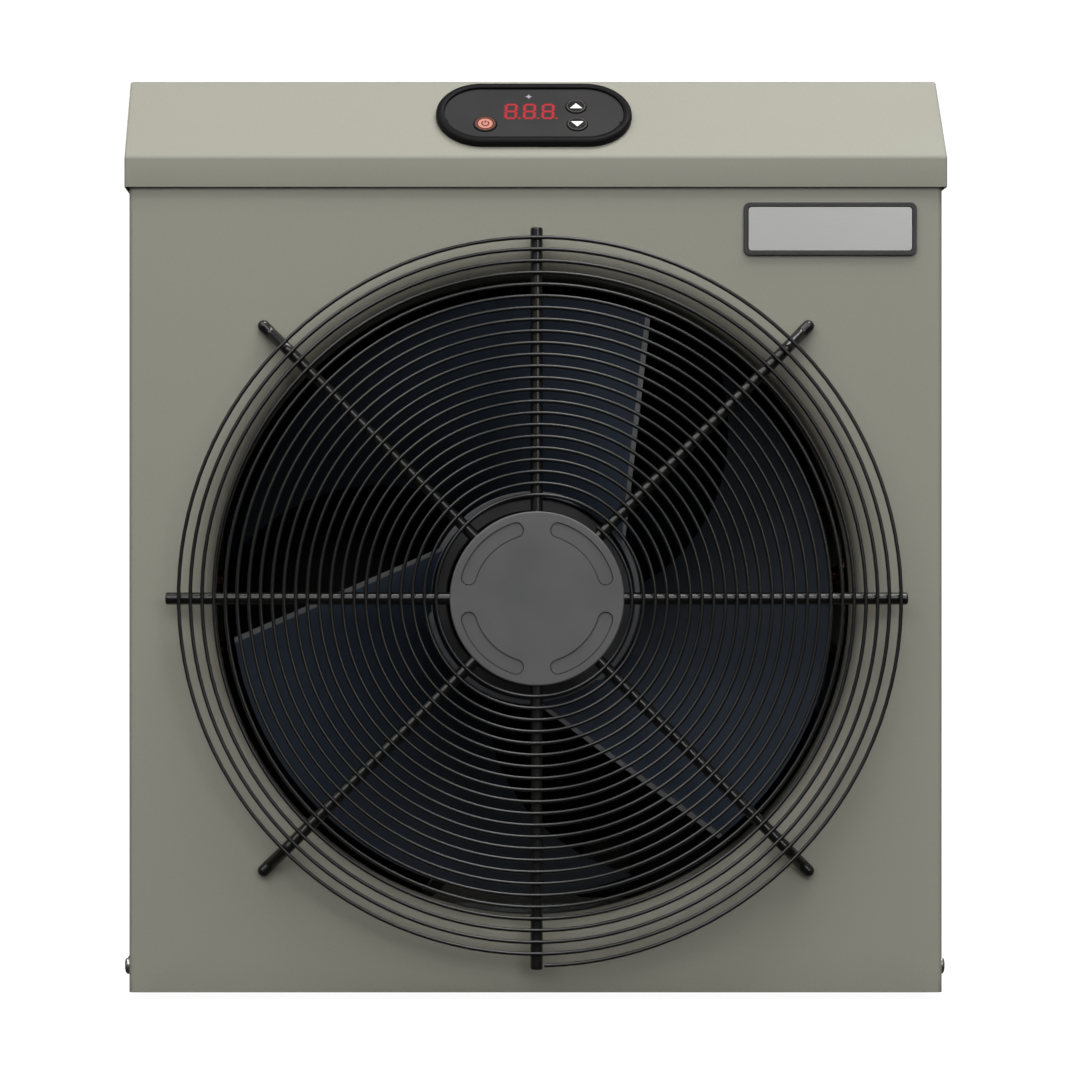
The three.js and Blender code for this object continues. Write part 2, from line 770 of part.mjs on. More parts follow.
// The straight front edge of a blade passes through these two points, across and up from the axis.
const EDGE_ROOT = new THREE.Vector2(45.2, 29.1);
const EDGE_TIP = new THREE.Vector2(57.8, 140.3);

// The angle at which the straight edge crosses a radius.
function straightEdgeAngle(radius) {
  const along = EDGE_TIP.clone().sub(EDGE_ROOT).normalize();
  const nearest = EDGE_ROOT.clone().addScaledVector(along, -EDGE_ROOT.dot(along));
  const reach = Math.sqrt(Math.max(radius ** 2 - nearest.lengthSq(), 0));
  const point = nearest.addScaledVector(along, reach);
  return Math.atan2(point.y, point.x);
}

// The swept rear edge leads the blade round, and leans further forward towards the tip.
function sweptEdgeAngle(radius) {
  const out = radius - HUB_RADIUS;
  return THREE.MathUtils.degToRad(126 + 0.37 * out + 0.0009 * out ** 2);
}

function blade(turn) {
  const stations = 6;
  const chordSteps = 7;
  const rings = [];
  for (let k = 0; k <= stations; k++) {
    const radius = THREE.MathUtils.lerp(ROTOR_RADIUS + 1.5, TIP_RADIUS, k / stations);
    const from = straightEdgeAngle(radius);
    const to = sweptEdgeAngle(radius);
    const face = [];
    const back = [];
    for (let i = 0; i <= chordSteps; i++) {
      const s = i / chordSteps;
      const angle = from + (to - from) * s + turn;
      const camber = 5 * Math.sin(Math.PI * s);
      const y = BLADE_FRONT_Y + (BLADE_REAR_Y - BLADE_FRONT_Y - 2) * s + camber;
      const thickness = 1.6 + 1.2 * Math.sin(Math.PI * s);
      const [x, z] = [radius * Math.cos(angle), radius * Math.sin(angle)];
      face.push(new THREE.Vector3(x, y, z));
      back.unshift(new THREE.Vector3(x, y + thickness, z));
    }
    rings.push([...face, ...back]);
  }
  return loft(rings);
}

function fanImpeller() {
  const inner = ROTOR_RADIUS + GAP;
  const hub = turned(
    [
      [inner, ROTOR_FRONT_Y - 1],
      [HUB_RADIUS, ROTOR_FRONT_Y - 1],
      [HUB_RADIUS, BLADE_REAR_Y + 4],
      [inner, BLADE_REAR_Y + 4],
    ],
    36,
  );
  const blades = [...Array(BLADES).keys()].map((i) => blade((2 * Math.PI * i) / BLADES));
  const bore = rod(inner, BLADE_FRONT_Y - 20, BLADE_REAR_Y + 20, 36);
  return cut(join(hub, ...blades), bore);
}

// The motor's lead runs up behind the guard's top spoke and into the cabinet.
function motorLead() {
  const run = FRONT - 7;
  return pipe(
    [
      [0, run, BRACKET_RADIUS + GAP],
      [0, run, LEAD_UP],
      [0, FRONT + 10, LEAD_UP],
      [0, -75, LEAD_UP + 2],
      [0, -62, LEAD_UP - 28],
      [0, -50.5, LEAD_UP - 28],
    ],
    LEAD_RADIUS,
    4.5,
    6,
  );
}

add(fan, "fan_shroud", fanShroud(), BLACK_PLASTIC);
add(fan, "motor_bracket", motorBracket(), GALVANISED);
add(fan, "motor_stator", motorStator(), GALVANISED);
add(fan, "motor_bearing_front", bearing(STATOR_Y[0] + 2), STEEL);
add(fan, "motor_bearing_rear", bearing(STATOR_Y[1] - BEARING_WIDTH - 2), STEEL);
add(fan, "motor_shaft", rod(SHAFT_RADIUS, STATOR_Y[0] + 1, ROTOR_REAR_Y + 1, 16), STEEL);
add(fan, "motor_rotor", motorRotor(), BLACK_PLASTIC);
add(fan, "fan_impeller", fanImpeller(), BLADE_PLASTIC);
add(fan, "motor_lead", motorLead(), BLACK_PLASTIC);

// ---------------------------------------------------------------- evaporator
const COIL_PITCH = 40;
const COIL_FIRST_Z = COIL_Z[0] + (COIL_Z[1] - COIL_Z[0] - COIL_PITCH * (COIL_PASSES - 1)) / 2;
const COIL_MID_Y = (COIL_Y[0] + COIL_Y[1]) / 2;
const PLATE_X = [COIL_X + GAP, COIL_X + GAP + 1.5];
const COIL_STUB_X = COIL_X + 8;
const passHeight = (i) => COIL_FIRST_Z + i * COIL_PITCH;

const tubeHoles = () =>
  [...Array(COIL_PASSES).keys()].map((i) =>
    crossHole(COIL_TUBE + 2 * GAP, COIL_MID_Y, passHeight(i), -WIDTH / 2, WIDTH / 2),
  );

// The end plates carry the coil and stand on the base pan.
function coilPlate(side) {
  const [near, far] = PLATE_X;
  const xs = side < 0 ? [-far, -near] : [near, far];
  return cut(box(xs, COIL_Y, [PAN_FLOOR[1] + GAP, COIL_Z[1] + 4]), ...tubeHoles());
}

// One copper tube crosses the fins and turns back outside the end plates.
function coilTube() {
  const corners = [];
  const turnX = COIL_X + 3 + COIL_PITCH / 2;
  for (let i = 0; i < COIL_PASSES; i++) {
    const direction = i % 2 ? 1 : -1;
    const startX = i === 0 ? COIL_STUB_X : -direction * turnX;
    const endX = i === COIL_PASSES - 1 ? COIL_STUB_X : direction * turnX;
    corners.push([startX, COIL_MID_Y, passHeight(i)], [endX, COIL_MID_Y, passHeight(i)]);
  }
  return bar(roundedRoute(corners, COIL_PITCH / 2 - 0.2, 3), COIL_TUBE, 6);
}

add(cabinet, "evaporator_fins", cut(box([-COIL_X, COIL_X], COIL_Y, COIL_Z), ...tubeHoles()), FINS);
add(cabinet, "evaporator_plate_left", coilPlate(-1), GALVANISED);
add(cabinet, "evaporator_plate_right", coilPlate(1), GALVANISED);
add(cabinet, "evaporator_tube", coilTube(), COPPER);

// ---------------------------------------------------------------- compressor and refrigerant circuit
const GROMMET_REACH = 62;
const GROMMET = { radius: 9, bottom: PAN_FLOOR[1] + GAP, top: COMPRESSOR.base - GAP };
const grommetPlace = (i) => {
  const a = (2 * Math.PI * i) / 3 + Math.PI / 6;
  return [COMPRESSOR.x + GROMMET_REACH * Math.cos(a), COMPRESSOR.y + GROMMET_REACH * Math.sin(a)];
};

function compressor() {
  const { x, y, radius, base, top } = COMPRESSOR;
  const can = upright(
    [
      [0, base],
      [radius - 4, base],
      [radius, base + 8],
      [radius, top - 26],
      [radius - 6, top - 14],
      [radius - 20, top - 4],
      [0, top],
    ],
    x,
    y,
    26,
  );
  const feet = [0, 1, 2].map((i) => {
    const [fx, fy] = grommetPlace(i);
    return post(11, fx, fy, base, base + 2.5, 16);
  });
  const arms = [0, 1, 2].map((i) => {
    const a = (2 * Math.PI * i) / 3 + Math.PI / 6;
    return box([0, GROMMET_REACH], [-11, 11], [base, base + 2.5]).rotateZ(a).translate(x, y, 0);
  });
  return join(can, ...feet, ...arms);
}

// The cap over the compressor's electrical terminals.
function terminalCover() {
  const foot = COMPRESSOR.top + GAP;
  const profile = [[0, foot], [12, foot], [12, foot + 16.7], [9, foot + 20.7], [0, foot + 20.7]];
  return upright(profile, COMPRESSOR.x + 4, COMPRESSOR.y, 20);
}

function accumulator() {
  const { x, y, radius, bottom, top } = ACCUMULATOR;
  const can = upright(
    [
      [0, bottom],
      [radius - 8, bottom + 2],
      [radius, bottom + 12],
      [radius, top - 12],
      [radius - 8, top - 2],
      [0, top],
    ],
    x,
    y,
    18,
  );
  const shell = COMPRESSOR.x - COMPRESSOR.radius - GAP;
  const low = 40; // height of the elbow's run to the compressor
  const route = [[x, y, bottom + 6], [x, y, low], [x + 2, COMPRESSOR.y, low], [shell, COMPRESSOR.y, low]];
  return join(can, pipe(route, 5, 9, 8));
}

function heatExchanger() {
  const { x, y, radius, bottom, top } = EXCHANGER;
  const shell = upright(
    [
      [0, bottom],
      [radius - 12, bottom],
      [radius, bottom + 12],
      [radius, top - 16],
      [radius - 14, top - 3],
      [0, top],
    ],
    x,
    y,
    26,
  );
  const tubeEnd = REAR_PLATE[0] - PORT_INSIDE - GAP;
  const inlet = rod(WATER_PIPE, y, tubeEnd, 16).translate(INLET_X, 0, PORT_Z);
  const { y: dropY, z: overZ } = { y: 96, z: top + 26 };
  const route = [
    [x, y, top - 10],
    [x, y, overZ],
    [OUTLET_X, dropY, overZ],
    [OUTLET_X, dropY, PORT_Z],
    [OUTLET_X, tubeEnd, PORT_Z],
  ];
  return join(shell, inlet, pipe(route, WATER_PIPE, 15, 10));
}

const GAS_PIPE = 4.8;
const LIQUID_PIPE = 3.2;
const DRIER = { x: -12, y: 84, radius: 11, bottom: 112, top: 186 };

function filterDrier() {
  const { x, y, radius, bottom, top } = DRIER;
  const profile = [[0, bottom], [4, bottom], [radius, bottom + 10], [radius, top - 10], [4, top], [0, top]];
  return upright(profile, x, y, 16);
}

const DISCHARGE_Z = 248; // heights of the pipes' level runs
const SUCTION_Z = 290;
const LIQUID_Z = 70;
const CAPILLARY_Z = 212;
const RISER = { suctionX: 188, capillaryX: 186, y: 95 }; // pipes that stand beside the coil

const dischargeX = [COMPRESSOR.x - 20, EXCHANGER.x + 24];
const discharge = [
  [dischargeX[0], COMPRESSOR.y, COMPRESSOR.top - 1.7],
  [dischargeX[0], COMPRESSOR.y, DISCHARGE_Z],
  [dischargeX[1], EXCHANGER.y - 10, DISCHARGE_Z],
  [dischargeX[1], EXCHANGER.y - 10, EXCHANGER.top - 0.8],
];
const suction = [
  [COIL_STUB_X + GAP, COIL_MID_Y, passHeight(COIL_PASSES - 1)],
  [RISER.suctionX, COIL_MID_Y, passHeight(COIL_PASSES - 1)],
  [RISER.suctionX, RISER.y, passHeight(COIL_PASSES - 1)],
  [RISER.suctionX, RISER.y, SUCTION_Z],
  [ACCUMULATOR.x, ACCUMULATOR.y, SUCTION_Z],
  [ACCUMULATOR.x, ACCUMULATOR.y, ACCUMULATOR.top + GAP],
];
const liquid = [
  [EXCHANGER.x + EXCHANGER.radius + GAP, EXCHANGER.y, LIQUID_Z],
  [DRIER.x, EXCHANGER.y, LIQUID_Z],
  [DRIER.x, DRIER.y, LIQUID_Z],
  [DRIER.x, DRIER.y, DRIER.bottom - GAP],
];
const capillary = [
  [DRIER.x, DRIER.y, DRIER.top + GAP],
  [DRIER.x, DRIER.y, CAPILLARY_Z],
  [60, RISER.y, CAPILLARY_Z],
  [RISER.capillaryX, RISER.y, CAPILLARY_Z],
  [RISER.capillaryX, RISER.y, passHeight(0)],
  [RISER.capillaryX, COIL_MID_Y, passHeight(0)],
  [COIL_STUB_X + GAP, COIL_MID_Y, passHeight(0)],
];

add(cabinet, "compressor", compressor(), BLACK_PLASTIC);
for (const i of [0, 1, 2]) {
  const [x, y] = grommetPlace(i);
  const name = "compressor_grommet_" + (i + 1);
  add(cabinet, name, post(GROMMET.radius, x, y, GROMMET.bottom, GROMMET.top, 16), RUBBER);
}
add(cabinet, "compressor_terminal_cover", terminalCover(), BLACK_PLASTIC);
add(cabinet, "accumulator", accumulator(), BLACK_PLASTIC);
add(cabinet, "heat_exchanger", heatExchanger(), PVC);
add(cabinet, "filter_drier", filterDrier(), COPPER);
add(cabinet, "discharge_pipe", pipe(discharge, GAS_PIPE, 9, 6), COPPER);
add(cabinet, "suction_pipe", pipe(suction, GAS_PIPE, 9, 6), COPPER);
add(cabinet, "liquid_pipe", pipe(liquid, LIQUID_PIPE, 8, 6), COPPER);
add(cabinet, "capillary_tube", pipe(capillary, 1.6, 6, 4), COPPER);

// ---------------------------------------------------------------- electrical box
const TRAY = { x: [-50, WIDTH / 2 - 2 * SHEET], y: [-50, 80], z: [318, 384] };

function electricalBox() {
  const { x, y, z } = TRAY;
  const outside = box(x, y, z);
  const inside = box([x[0] + 2, x[1] - 2], [y[0] + 2, y[1] - 2], [z[0] + 2, z[1] + 1]);
  return cut(outside, inside);
}

const TRAY_FLOOR = TRAY.z[0] + 2 + GAP;
const MAIN_BOARD = { x: [-38, 92], y: [-40, 60], z: TRAY.z[0] + 8, thickness: 1.6 };
const RELAY = { width: 22, pitch: 34, count: 3, y: [-34, -18], height: 20 };
const TRANSFORMER = { x: [-25, 25], y: [5, 45], height: 30 };
const TERMINALS = { x: [104, 184], y: [50, 76], height: 22, cell: 12, pitch: 15, count: 5 };
const CAPACITOR = { x: 142, radius: 19, y: [-36, 36] };

// The circuit board with its relays and its transformer.
function mainBoard() {
  const { x, y, z, thickness } = MAIN_BOARD;
  const relays = [...Array(RELAY.count).keys()].map((i) => {
    const left = x[0] + 8 + RELAY.pitch * i;
    return box([left, left + RELAY.width], RELAY.y, [z - 0.5, z + RELAY.height]);
  });
  const transformer = box(TRANSFORMER.x, TRANSFORMER.y, [z - 0.5, z + TRANSFORMER.height]);
  return join(box(x, y, [z - thickness, z]), transformer, ...relays);
}

function terminalBlock() {
  const { x, y, height, cell, pitch, count } = TERMINALS;
  const body = box(x, y, [TRAY_FLOOR, TRAY_FLOOR + height]);
  const cells = [...Array(count).keys()].map((i) => {
    const left = x[0] + 4 + pitch * i;
    return box([left, left + cell], [y[0] - 2, y[0] + 14], [TRAY_FLOOR + cell, TRAY_FLOOR + height + 1]);
  });
  return cut(body, ...cells);
}

function runCapacitor() {
  const lying = rod(CAPACITOR.radius, ...CAPACITOR.y);
  return lying.translate(CAPACITOR.x, 0, TRAY_FLOOR + CAPACITOR.radius);
}

const TRAY_LID = [TRAY.z[1] + GAP, TRAY.z[1] + GAP + 1.5];

add(cabinet, "electrical_box", electricalBox(), GALVANISED);
add(cabinet, "electrical_box_cover", box(TRAY.x, TRAY.y, TRAY_LID), GALVANISED);
add(cabinet, "main_board", mainBoard(), BOARD);
add(cabinet, "run_capacitor", runCapacitor(), SATIN_SILVER);
add(cabinet, "terminal_block", terminalBlock(), BLACK_PLASTIC);

// ---------------------------------------------------------------- control panel, drawn flat and then tilted
const FACE = [1.4, 2.6]; // under and upper side of the face plate inside the bezel
const DISPLAY = { x: -1.8, v: 1.5, width: 30, height: 16 };
const BOARD_W = [-5.6, -4];
const SKIRT_DEPTH = -7;
const BUTTON_TRAVEL = 1;
const FLANGE = { top: FACE[0] - GAP, thickness: 1.4, overlap: 0.7 };
const THROUGH = [SKIRT_DEPTH - 2, BEZEL.height + 2]; // tools that cut right through the bezel

const inset = (distance) => stadium(BEZEL.length - 2 * distance, BEZEL.width - 2 * distance);

function controlBezel() {
  const plate = prism(inset(0), GAP, BEZEL.height, 3);
  const pocket = prism(inset(4), FACE[1], BEZEL.height + 1, 3);
  const skirt = prism(inset(4), SKIRT_DEPTH, GAP + 1, 3);
  const hollow = prism(inset(6), SKIRT_DEPTH - 1, FACE[0], 3);
  const holes = BUTTONS.map(({ x, v, radius }) => prism(disc(radius + GAP, x, v), ...THROUGH, 8));
  const { x, v, width, height } = DISPLAY;
  const window = prism(rectangle(width + 2 * GAP, height + 2 * GAP, x, v), ...THROUGH);
  return cut(join(plate, skirt), pocket, hollow, ...holes, window);
}

// A cap with a flange under the face plate that keeps it in.
function button({ x, v, radius }) {
  const { top, thickness, overlap } = FLANGE;
  return join(
    prism(disc(radius, x, v), top - 1, FACE[1] + 0.6, 8),
    prism(disc(radius + overlap, x, v), top - thickness, top, 8),
  );
}

// The board carries one small switch under each button and the digits' block under the window.
function controlBoard() {
  const top = BOARD_W[1] - 0.5;
  const switchTop = FLANGE.top - FLANGE.thickness - BUTTON_TRAVEL - GAP;
  const board = prism(inset(7), ...BOARD_W, 3);
  const switches = BUTTONS.map(({ x, v }) => prism(disc(2.2, x, v), top, switchTop, 4));
  const { x, v, width, height } = DISPLAY;
  const digits = prism(rectangle(width - 2, height - 2, x, v), top, FACE[0] - 1.2);
  return join(board, digits, ...switches);
}

function displayWindow() {
  const { x, v, width, height } = DISPLAY;
  return prism(rectangle(width, height, x, v), FACE[0] - 0.8, FACE[1]);
}

add(controls, "control_bezel", controlBezel(), GLOSS_BLACK);
add(controls, "control_board", controlBoard(), BOARD);
add(controls, "display_window", displayWindow(), DISPLAY_RED);
for (const part of BUTTONS) add(controls, part.name, button(part), material(part.colour, 0.3));

// ---------------------------------------------------------------- water unions and cable gland
const FLANGE_Y = [REAR_PLATE[1] + GAP, REAR + 3];
const STUB_END = REAR + 22;
const COLLAR_Y = [STUB_END + GAP, STUB_END + 4];
const NUT_Y = [FLANGE_Y[1] + 1, COLLAR_Y[1] + GAP + 5];
const NUT_RADIUS = 27;
const NUT_LOBES = 8;
const TAIL_RADIUS = 16;

// A hollow stub with a flange outside the rear panel and a short shank through it.
function waterPort() {
  return turned(
    [
      [PORT_BORE, REAR_PLATE[0] - PORT_INSIDE],
      [PORT_RADIUS, REAR_PLATE[0] - PORT_INSIDE],
      [PORT_RADIUS, FLANGE_Y[0]],
      [PORT_RADIUS + 5, FLANGE_Y[0]],
      [PORT_RADIUS + 5, FLANGE_Y[1]],
      [PORT_RADIUS, FLANGE_Y[1]],
      [PORT_RADIUS, STUB_END],
      [PORT_BORE, STUB_END],
    ],
    18,
  );
}

// The hose tail: a collar that the nut holds, a neck, and three barbs.
function hoseTail() {
  const neckEnd = NUT_Y[1] + 4;
  const barb = (TAIL_END_Y - neckEnd - 1) / 3;
  const barbs = [0, 1, 2].flatMap((i) => [
    [TAIL_RADIUS, neckEnd + i * barb],
    [TAIL_RADIUS - 1.5, neckEnd + (i + 0.95) * barb],
  ]);
  return turned(
    [
      [TAIL_BORE, COLLAR_Y[0]],
      [PORT_RADIUS - 0.5, COLLAR_Y[0]],
      [PORT_RADIUS - 0.5, COLLAR_Y[1]],
      [TAIL_RADIUS - 1, COLLAR_Y[1]],
      [TAIL_RADIUS - 1, neckEnd],
      ...barbs,
      [TAIL_RADIUS - 1.5, TAIL_END_Y],
      [TAIL_BORE, TAIL_END_Y],
    ],
    18,
  );
}

// The union nut: lobes outside, a bore over the stub, and a lip behind the tail's collar.
function unionNut() {
  const corners = [...Array(3 * NUT_LOBES).keys()].map((i) => {
    const angle = (2 * Math.PI * i) / (3 * NUT_LOBES);
    const radius = NUT_RADIUS - (i % 3 === 0 ? 2 : 0);
    return [radius * Math.cos(angle), radius * Math.sin(angle)];
  });
  const bore = rod(PORT_RADIUS + 0.5, NUT_Y[0] - 1, COLLAR_Y[1] + GAP, 20);
  const mouthHole = rod(TAIL_RADIUS - 1 + GAP, NUT_Y[0] - 1, NUT_Y[1] + 1, 20);
  return cut(slab(polygon(corners), ...NUT_Y), bore, mouthHole);
}

for (const [name, x] of [["inlet", INLET_X], ["outlet", OUTLET_X]]) {
  const place = new THREE.Group();
  place.position.set(x, 0, PORT_Z);
  cabinet.add(place);
  add(place, name + "_port", waterPort(), PVC);
  add(place, name + "_tail", hoseTail(), PVC);
  add(place, name + "_nut", unionNut(), BLACK_PLASTIC);
}

// A cable gland with a flange, a hexagon and a dome, closed by its blanking plug.
function cableGland() {
  const { radius, hexagonRadius, domeRadius, hexagonY, domeY } = GLAND;
  const shank = rod(radius, REAR_PLATE[0] - 5, REAR_PLATE[1] + 1, 20);
  const hexagon = rod(hexagonRadius, REAR_PLATE[1] + GAP, hexagonY, 6);
  const dome = turned(
    [
      [0, hexagonY - 1],
      [domeRadius, hexagonY - 1],
      [domeRadius, domeY - 5],
      [domeRadius - 2.5, domeY],
      [0, domeY],
    ],
    20,
  );
  return join(shank, hexagon, dome).translate(GLAND.x, 0, GLAND.z);
}

add(cabinet, "cable_gland", cableGland(), BLACK_PLASTIC);

export default unit;
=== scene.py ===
"""The looks of a compact swimming-pool heat pump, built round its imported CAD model.

Shapes are worked out in millimetres and written to Blender in metres. +Z is up, the front faces -Y, and +X is
to the right of a person who faces the front. The CAD nodes give every piece its place.
"""
import json
import math

import bmesh
import bpy
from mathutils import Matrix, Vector

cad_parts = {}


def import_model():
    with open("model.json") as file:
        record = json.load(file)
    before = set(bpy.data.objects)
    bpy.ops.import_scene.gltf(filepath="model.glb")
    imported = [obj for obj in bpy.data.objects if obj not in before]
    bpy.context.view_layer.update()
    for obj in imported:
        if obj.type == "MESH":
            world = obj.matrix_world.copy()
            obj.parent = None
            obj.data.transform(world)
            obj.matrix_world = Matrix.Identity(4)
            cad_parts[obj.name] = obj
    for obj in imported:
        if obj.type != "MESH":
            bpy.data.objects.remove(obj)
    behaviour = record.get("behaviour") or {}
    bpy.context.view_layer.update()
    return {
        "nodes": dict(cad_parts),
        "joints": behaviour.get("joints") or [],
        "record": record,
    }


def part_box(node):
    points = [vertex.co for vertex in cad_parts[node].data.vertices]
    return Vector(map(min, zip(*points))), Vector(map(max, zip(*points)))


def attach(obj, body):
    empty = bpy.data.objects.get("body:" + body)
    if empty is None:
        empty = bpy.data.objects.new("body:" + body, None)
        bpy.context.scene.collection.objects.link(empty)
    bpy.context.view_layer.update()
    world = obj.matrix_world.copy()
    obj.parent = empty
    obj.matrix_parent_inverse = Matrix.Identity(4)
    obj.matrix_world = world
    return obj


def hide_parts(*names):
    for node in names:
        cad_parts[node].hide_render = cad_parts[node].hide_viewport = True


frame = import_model()
record = frame["record"]

MM = 0.001
TAU = 2 * math.pi
SIDES = (("left", -1), ("right", 1))


# ---------------- places taken from the frame
def box_mm(node):
    low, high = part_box(node)
    return low / MM, high / MM


def middle_mm(node):
    return [(a + b) / 2 for a, b in zip(*box_mm(node))]


def joint_place(name):
    joint = next(j for j in frame["joints"] if j["name"] == name)
    return Vector(joint["pos_m"]) / MM


PANEL_LOW, PANEL_HIGH = box_mm("front_panel")
LID_LOW, LID_HIGH = box_mm("top_cover")
FRONT = PANEL_LOW.y
HALF_WIDTH = PANEL_HIGH.x
REAR = box_mm("side_panel_right")[1].y
FAN_Z = joint_place("fan_spin").z
SHEET = 1.2


# Each place takes u across, v up and w outwards, and gives a point of the row frame.
def facing(z):
    """In front of the panel, with v counted from a height."""
    return lambda u, v, w: Vector((u, FRONT - w, z + v))


def behind(x=0.0, y=0.0, z=0.0):
    """Seen from the front too, but with w towards the rear."""
    return lambda u, v, w: Vector((x + u, y + w, z + v))


def beside(sx, x, y, z):
    """On the left or the right side, with u towards the rear."""
    return lambda u, v, w: Vector((sx * (x + w), y + u, z + v))


def level_place(x, y, z):
    """The row frame itself."""
    return Vector((x, y, z))


front_place = facing(0)
fan_place = facing(FAN_Z)

SLOPE_RISE, SLOPE_RUN = 42, 40
SLOPE_ANGLE = math.atan2(SLOPE_RISE, SLOPE_RUN)
SLOPE_FOOT_Z = 415
CONTROL_X = -0.3
CONTROL_UP_SLOPE = 29.8


def slope_place(u, v, w):
    """On the lid's slope, from the control panel's centre."""
    up = CONTROL_UP_SLOPE + v
    y = LID_LOW.y + up * math.cos(SLOPE_ANGLE) - w * math.sin(SLOPE_ANGLE)
    z = SLOPE_FOOT_Z + up * math.sin(SLOPE_ANGLE) + w * math.cos(SLOPE_ANGLE)
    return Vector((CONTROL_X + u, y, z))


# ---------------- outlines
def arc(radius, start, end, steps, x=0.0, y=0.0):
    """Points along an arc, angles in degrees, both ends included."""
    turns = [math.radians(start + (end - start) * i / steps) for i in range(steps + 1)]
    return [(x + radius * math.cos(a), y + radius * math.sin(a)) for a in turns]


def circle(radius, steps=48, x=0.0, y=0.0):
    return arc(radius, 0, 360, steps, x, y)[:-1]


def rounded_rectangle(width, height, radius, x=0.0, y=0.0, steps=8):
    right, top = width / 2 - radius, height / 2 - radius
    outline = []
    for start, sx, sy in ((-90, 1, -1), (0, 1, 1), (90, -1, 1), (180, -1, -1)):
        outline += arc(radius, start, start + 90, steps, x + sx * right, y + sy * top)
    return outline


def stadium(length, width, steps=16):
    return rounded_rectangle(length, width, width / 2 - 0.01, steps=steps)


def kidney(radius, width, start, end, steps=24):
    """A curved slot with round ends, about the origin."""
    half = width / 2
    near, far = arc(radius, start, end, 1)
    return (
        arc(radius + half, start, end, steps)
        + arc(half, end, end + 180, 12, *far)[1:-1]
        + arc(radius - half, end, start, steps)
        + arc(half, start + 180, start + 360, 12, *near)[1:-1]
    )


def quarter_turn(steps):
    """The sine and cosine at each step of a quarter turn, both ends included."""
    turns = [math.radians(90 * i / steps) for i in range(steps + 1)]
    return [(math.sin(a), math.cos(a)) for a in turns]


# ---------------- shapes, each a list of points and a list of faces
def join_shapes(*shapes):
    points, faces = [], []
    for more_points, more_faces in shapes:
        shift = len(points)
        points += more_points
        faces += [tuple(i + shift for i in face) for face in more_faces]
    return points, faces


def quads_between(first, second, count, closed=True):
    """Faces between two rows of equally many points, by the rows' first indices."""
    last = count if closed else count - 1
    return [(first + i, first + (i + 1) % count, second + (i + 1) % count, second + i) for i in range(last)]


def skin(rows, count):
    """Faces between rings of points that follow one another."""
    return [quad for k in range(rows - 1) for quad in quads_between(k * count, (k + 1) * count, count)]


def stack(levels, place, closed=False):
    """Outlines of equally many points, each at its w, joined into a skin, capped or closed on itself."""
    count = len(levels[0][0])
    last = (len(levels) - 1) * count
    points = [place(u, v, w) for outline, w in levels for u, v in outline]
    faces = skin(len(levels), count)
    if closed:
        return points, faces + quads_between(last, 0, count)
    return points, faces + [tuple(reversed(range(count))), tuple(range(last, last + count))]


def plate(outline, low, high, place):
    return stack([(outline, low), (outline, high)], place)


def block(low, high):
    """A box between two corners."""
    corners = [(low[0], low[1]), (high[0], low[1]), (high[0], high[1]), (low[0], high[1])]
    return plate(corners, low[2], high[2], level_place)


def lathe(profile, x=0.0, z=0.0, sides=64, closed=False):
    """A profile of (radius, y) pairs turned about a line along Y."""
    points, rings = [], []
    for radius, y in profile:
        first = len(points)
        if radius == 0:
            points.append(Vector((x, y, z)))
            rings.append([first] * sides)
            continue
        points += [Vector((x + u, y, z + v)) for u, v in circle(radius, sides)]
        rings.append(list(range(first, first + sides)))
    pairs = list(zip(rings, rings[1:]))
    if closed:
        pairs.append((rings[-1], rings[0]))
    faces = []
    for near, far in pairs:
        for i in range(sides):
            j = (i + 1) % sides
            corners = dict.fromkeys((near[i], near[j], far[j], far[i]))
            if len(corners) > 2:
                faces.append(tuple(corners))
    return points, faces


def upright_lathe(profile, x, y, sides=48):
    """A profile of (radius, z) pairs turned about a vertical line."""
    points, faces = lathe(profile, sides=sides)
    return [Vector((x + p.x, y + p.z, p.y)) for p in points], faces


def sweep(route, radius, sides=12, closed=False, radii=None):
    """A round bar along a route, with square ends unless the route is closed or the radii shrink."""
    route = [Vector(p) for p in route]
    radii = radii or [radius] * len(route)
    count = len(route)
    last = count - 1
    points = []
    side = None
    for k, centre in enumerate(route):
        before = route[k - 1] if k or closed else centre
        after = route[(k + 1) % count] if k < last or closed else centre
        along = (after - before).normalized()
        if side is None:
            side = along.orthogonal().normalized()
        side = (side - along * side.dot(along)).normalized()
        other = along.cross(side)
        points += [centre + side * u + other * v for u, v in circle(radii[k], sides)]
    faces = skin(count, sides)
    if closed:
        return points, faces + quads_between(last * sides, 0, sides)
    return points, faces + [tuple(reversed(range(sides))), tuple(range(last * sides, count * sides))]


def rounded_route(corners, radius, steps=8, closed=False):
    """A route through corners, each turned by a smooth bend."""
    corners = [Vector(c) for c in corners]
    around = corners[-1:] + corners + corners[:1] if closed else corners
    bends = []
    for before, corner, after in zip(around, around[1:], around[2:]):
        back, on = (before - corner).normalized(), (after - corner).normalized()
        reach = radius / math.tan(back.angle(on) / 2)
        start, end = corner + back * reach, corner + on * reach
        for i in range(steps + 1):
            t = i / steps
            bends.append(start * (1 - t) ** 2 + corner * (2 * t * (1 - t)) + end * t**2)
    return bends if closed else corners[:1] + bends + corners[-1:]


# ---------------- objects
def edit_mesh(mesh, *changes):
    form = bmesh.new()
    form.from_mesh(mesh)
    for change in changes:
        change(form)
    form.to_mesh(mesh)
    form.free()


def face_outwards(form):
    bmesh.ops.recalc_face_normals(form, faces=form.faces)


def shade(mesh, degrees=35):
    """Smooth shading, with edges sharper than the angle kept crisp."""
    mesh.polygons.foreach_set("use_smooth", [True] * len(mesh.polygons))
    mesh.set_sharp_from_angle(angle=math.radians(degrees))


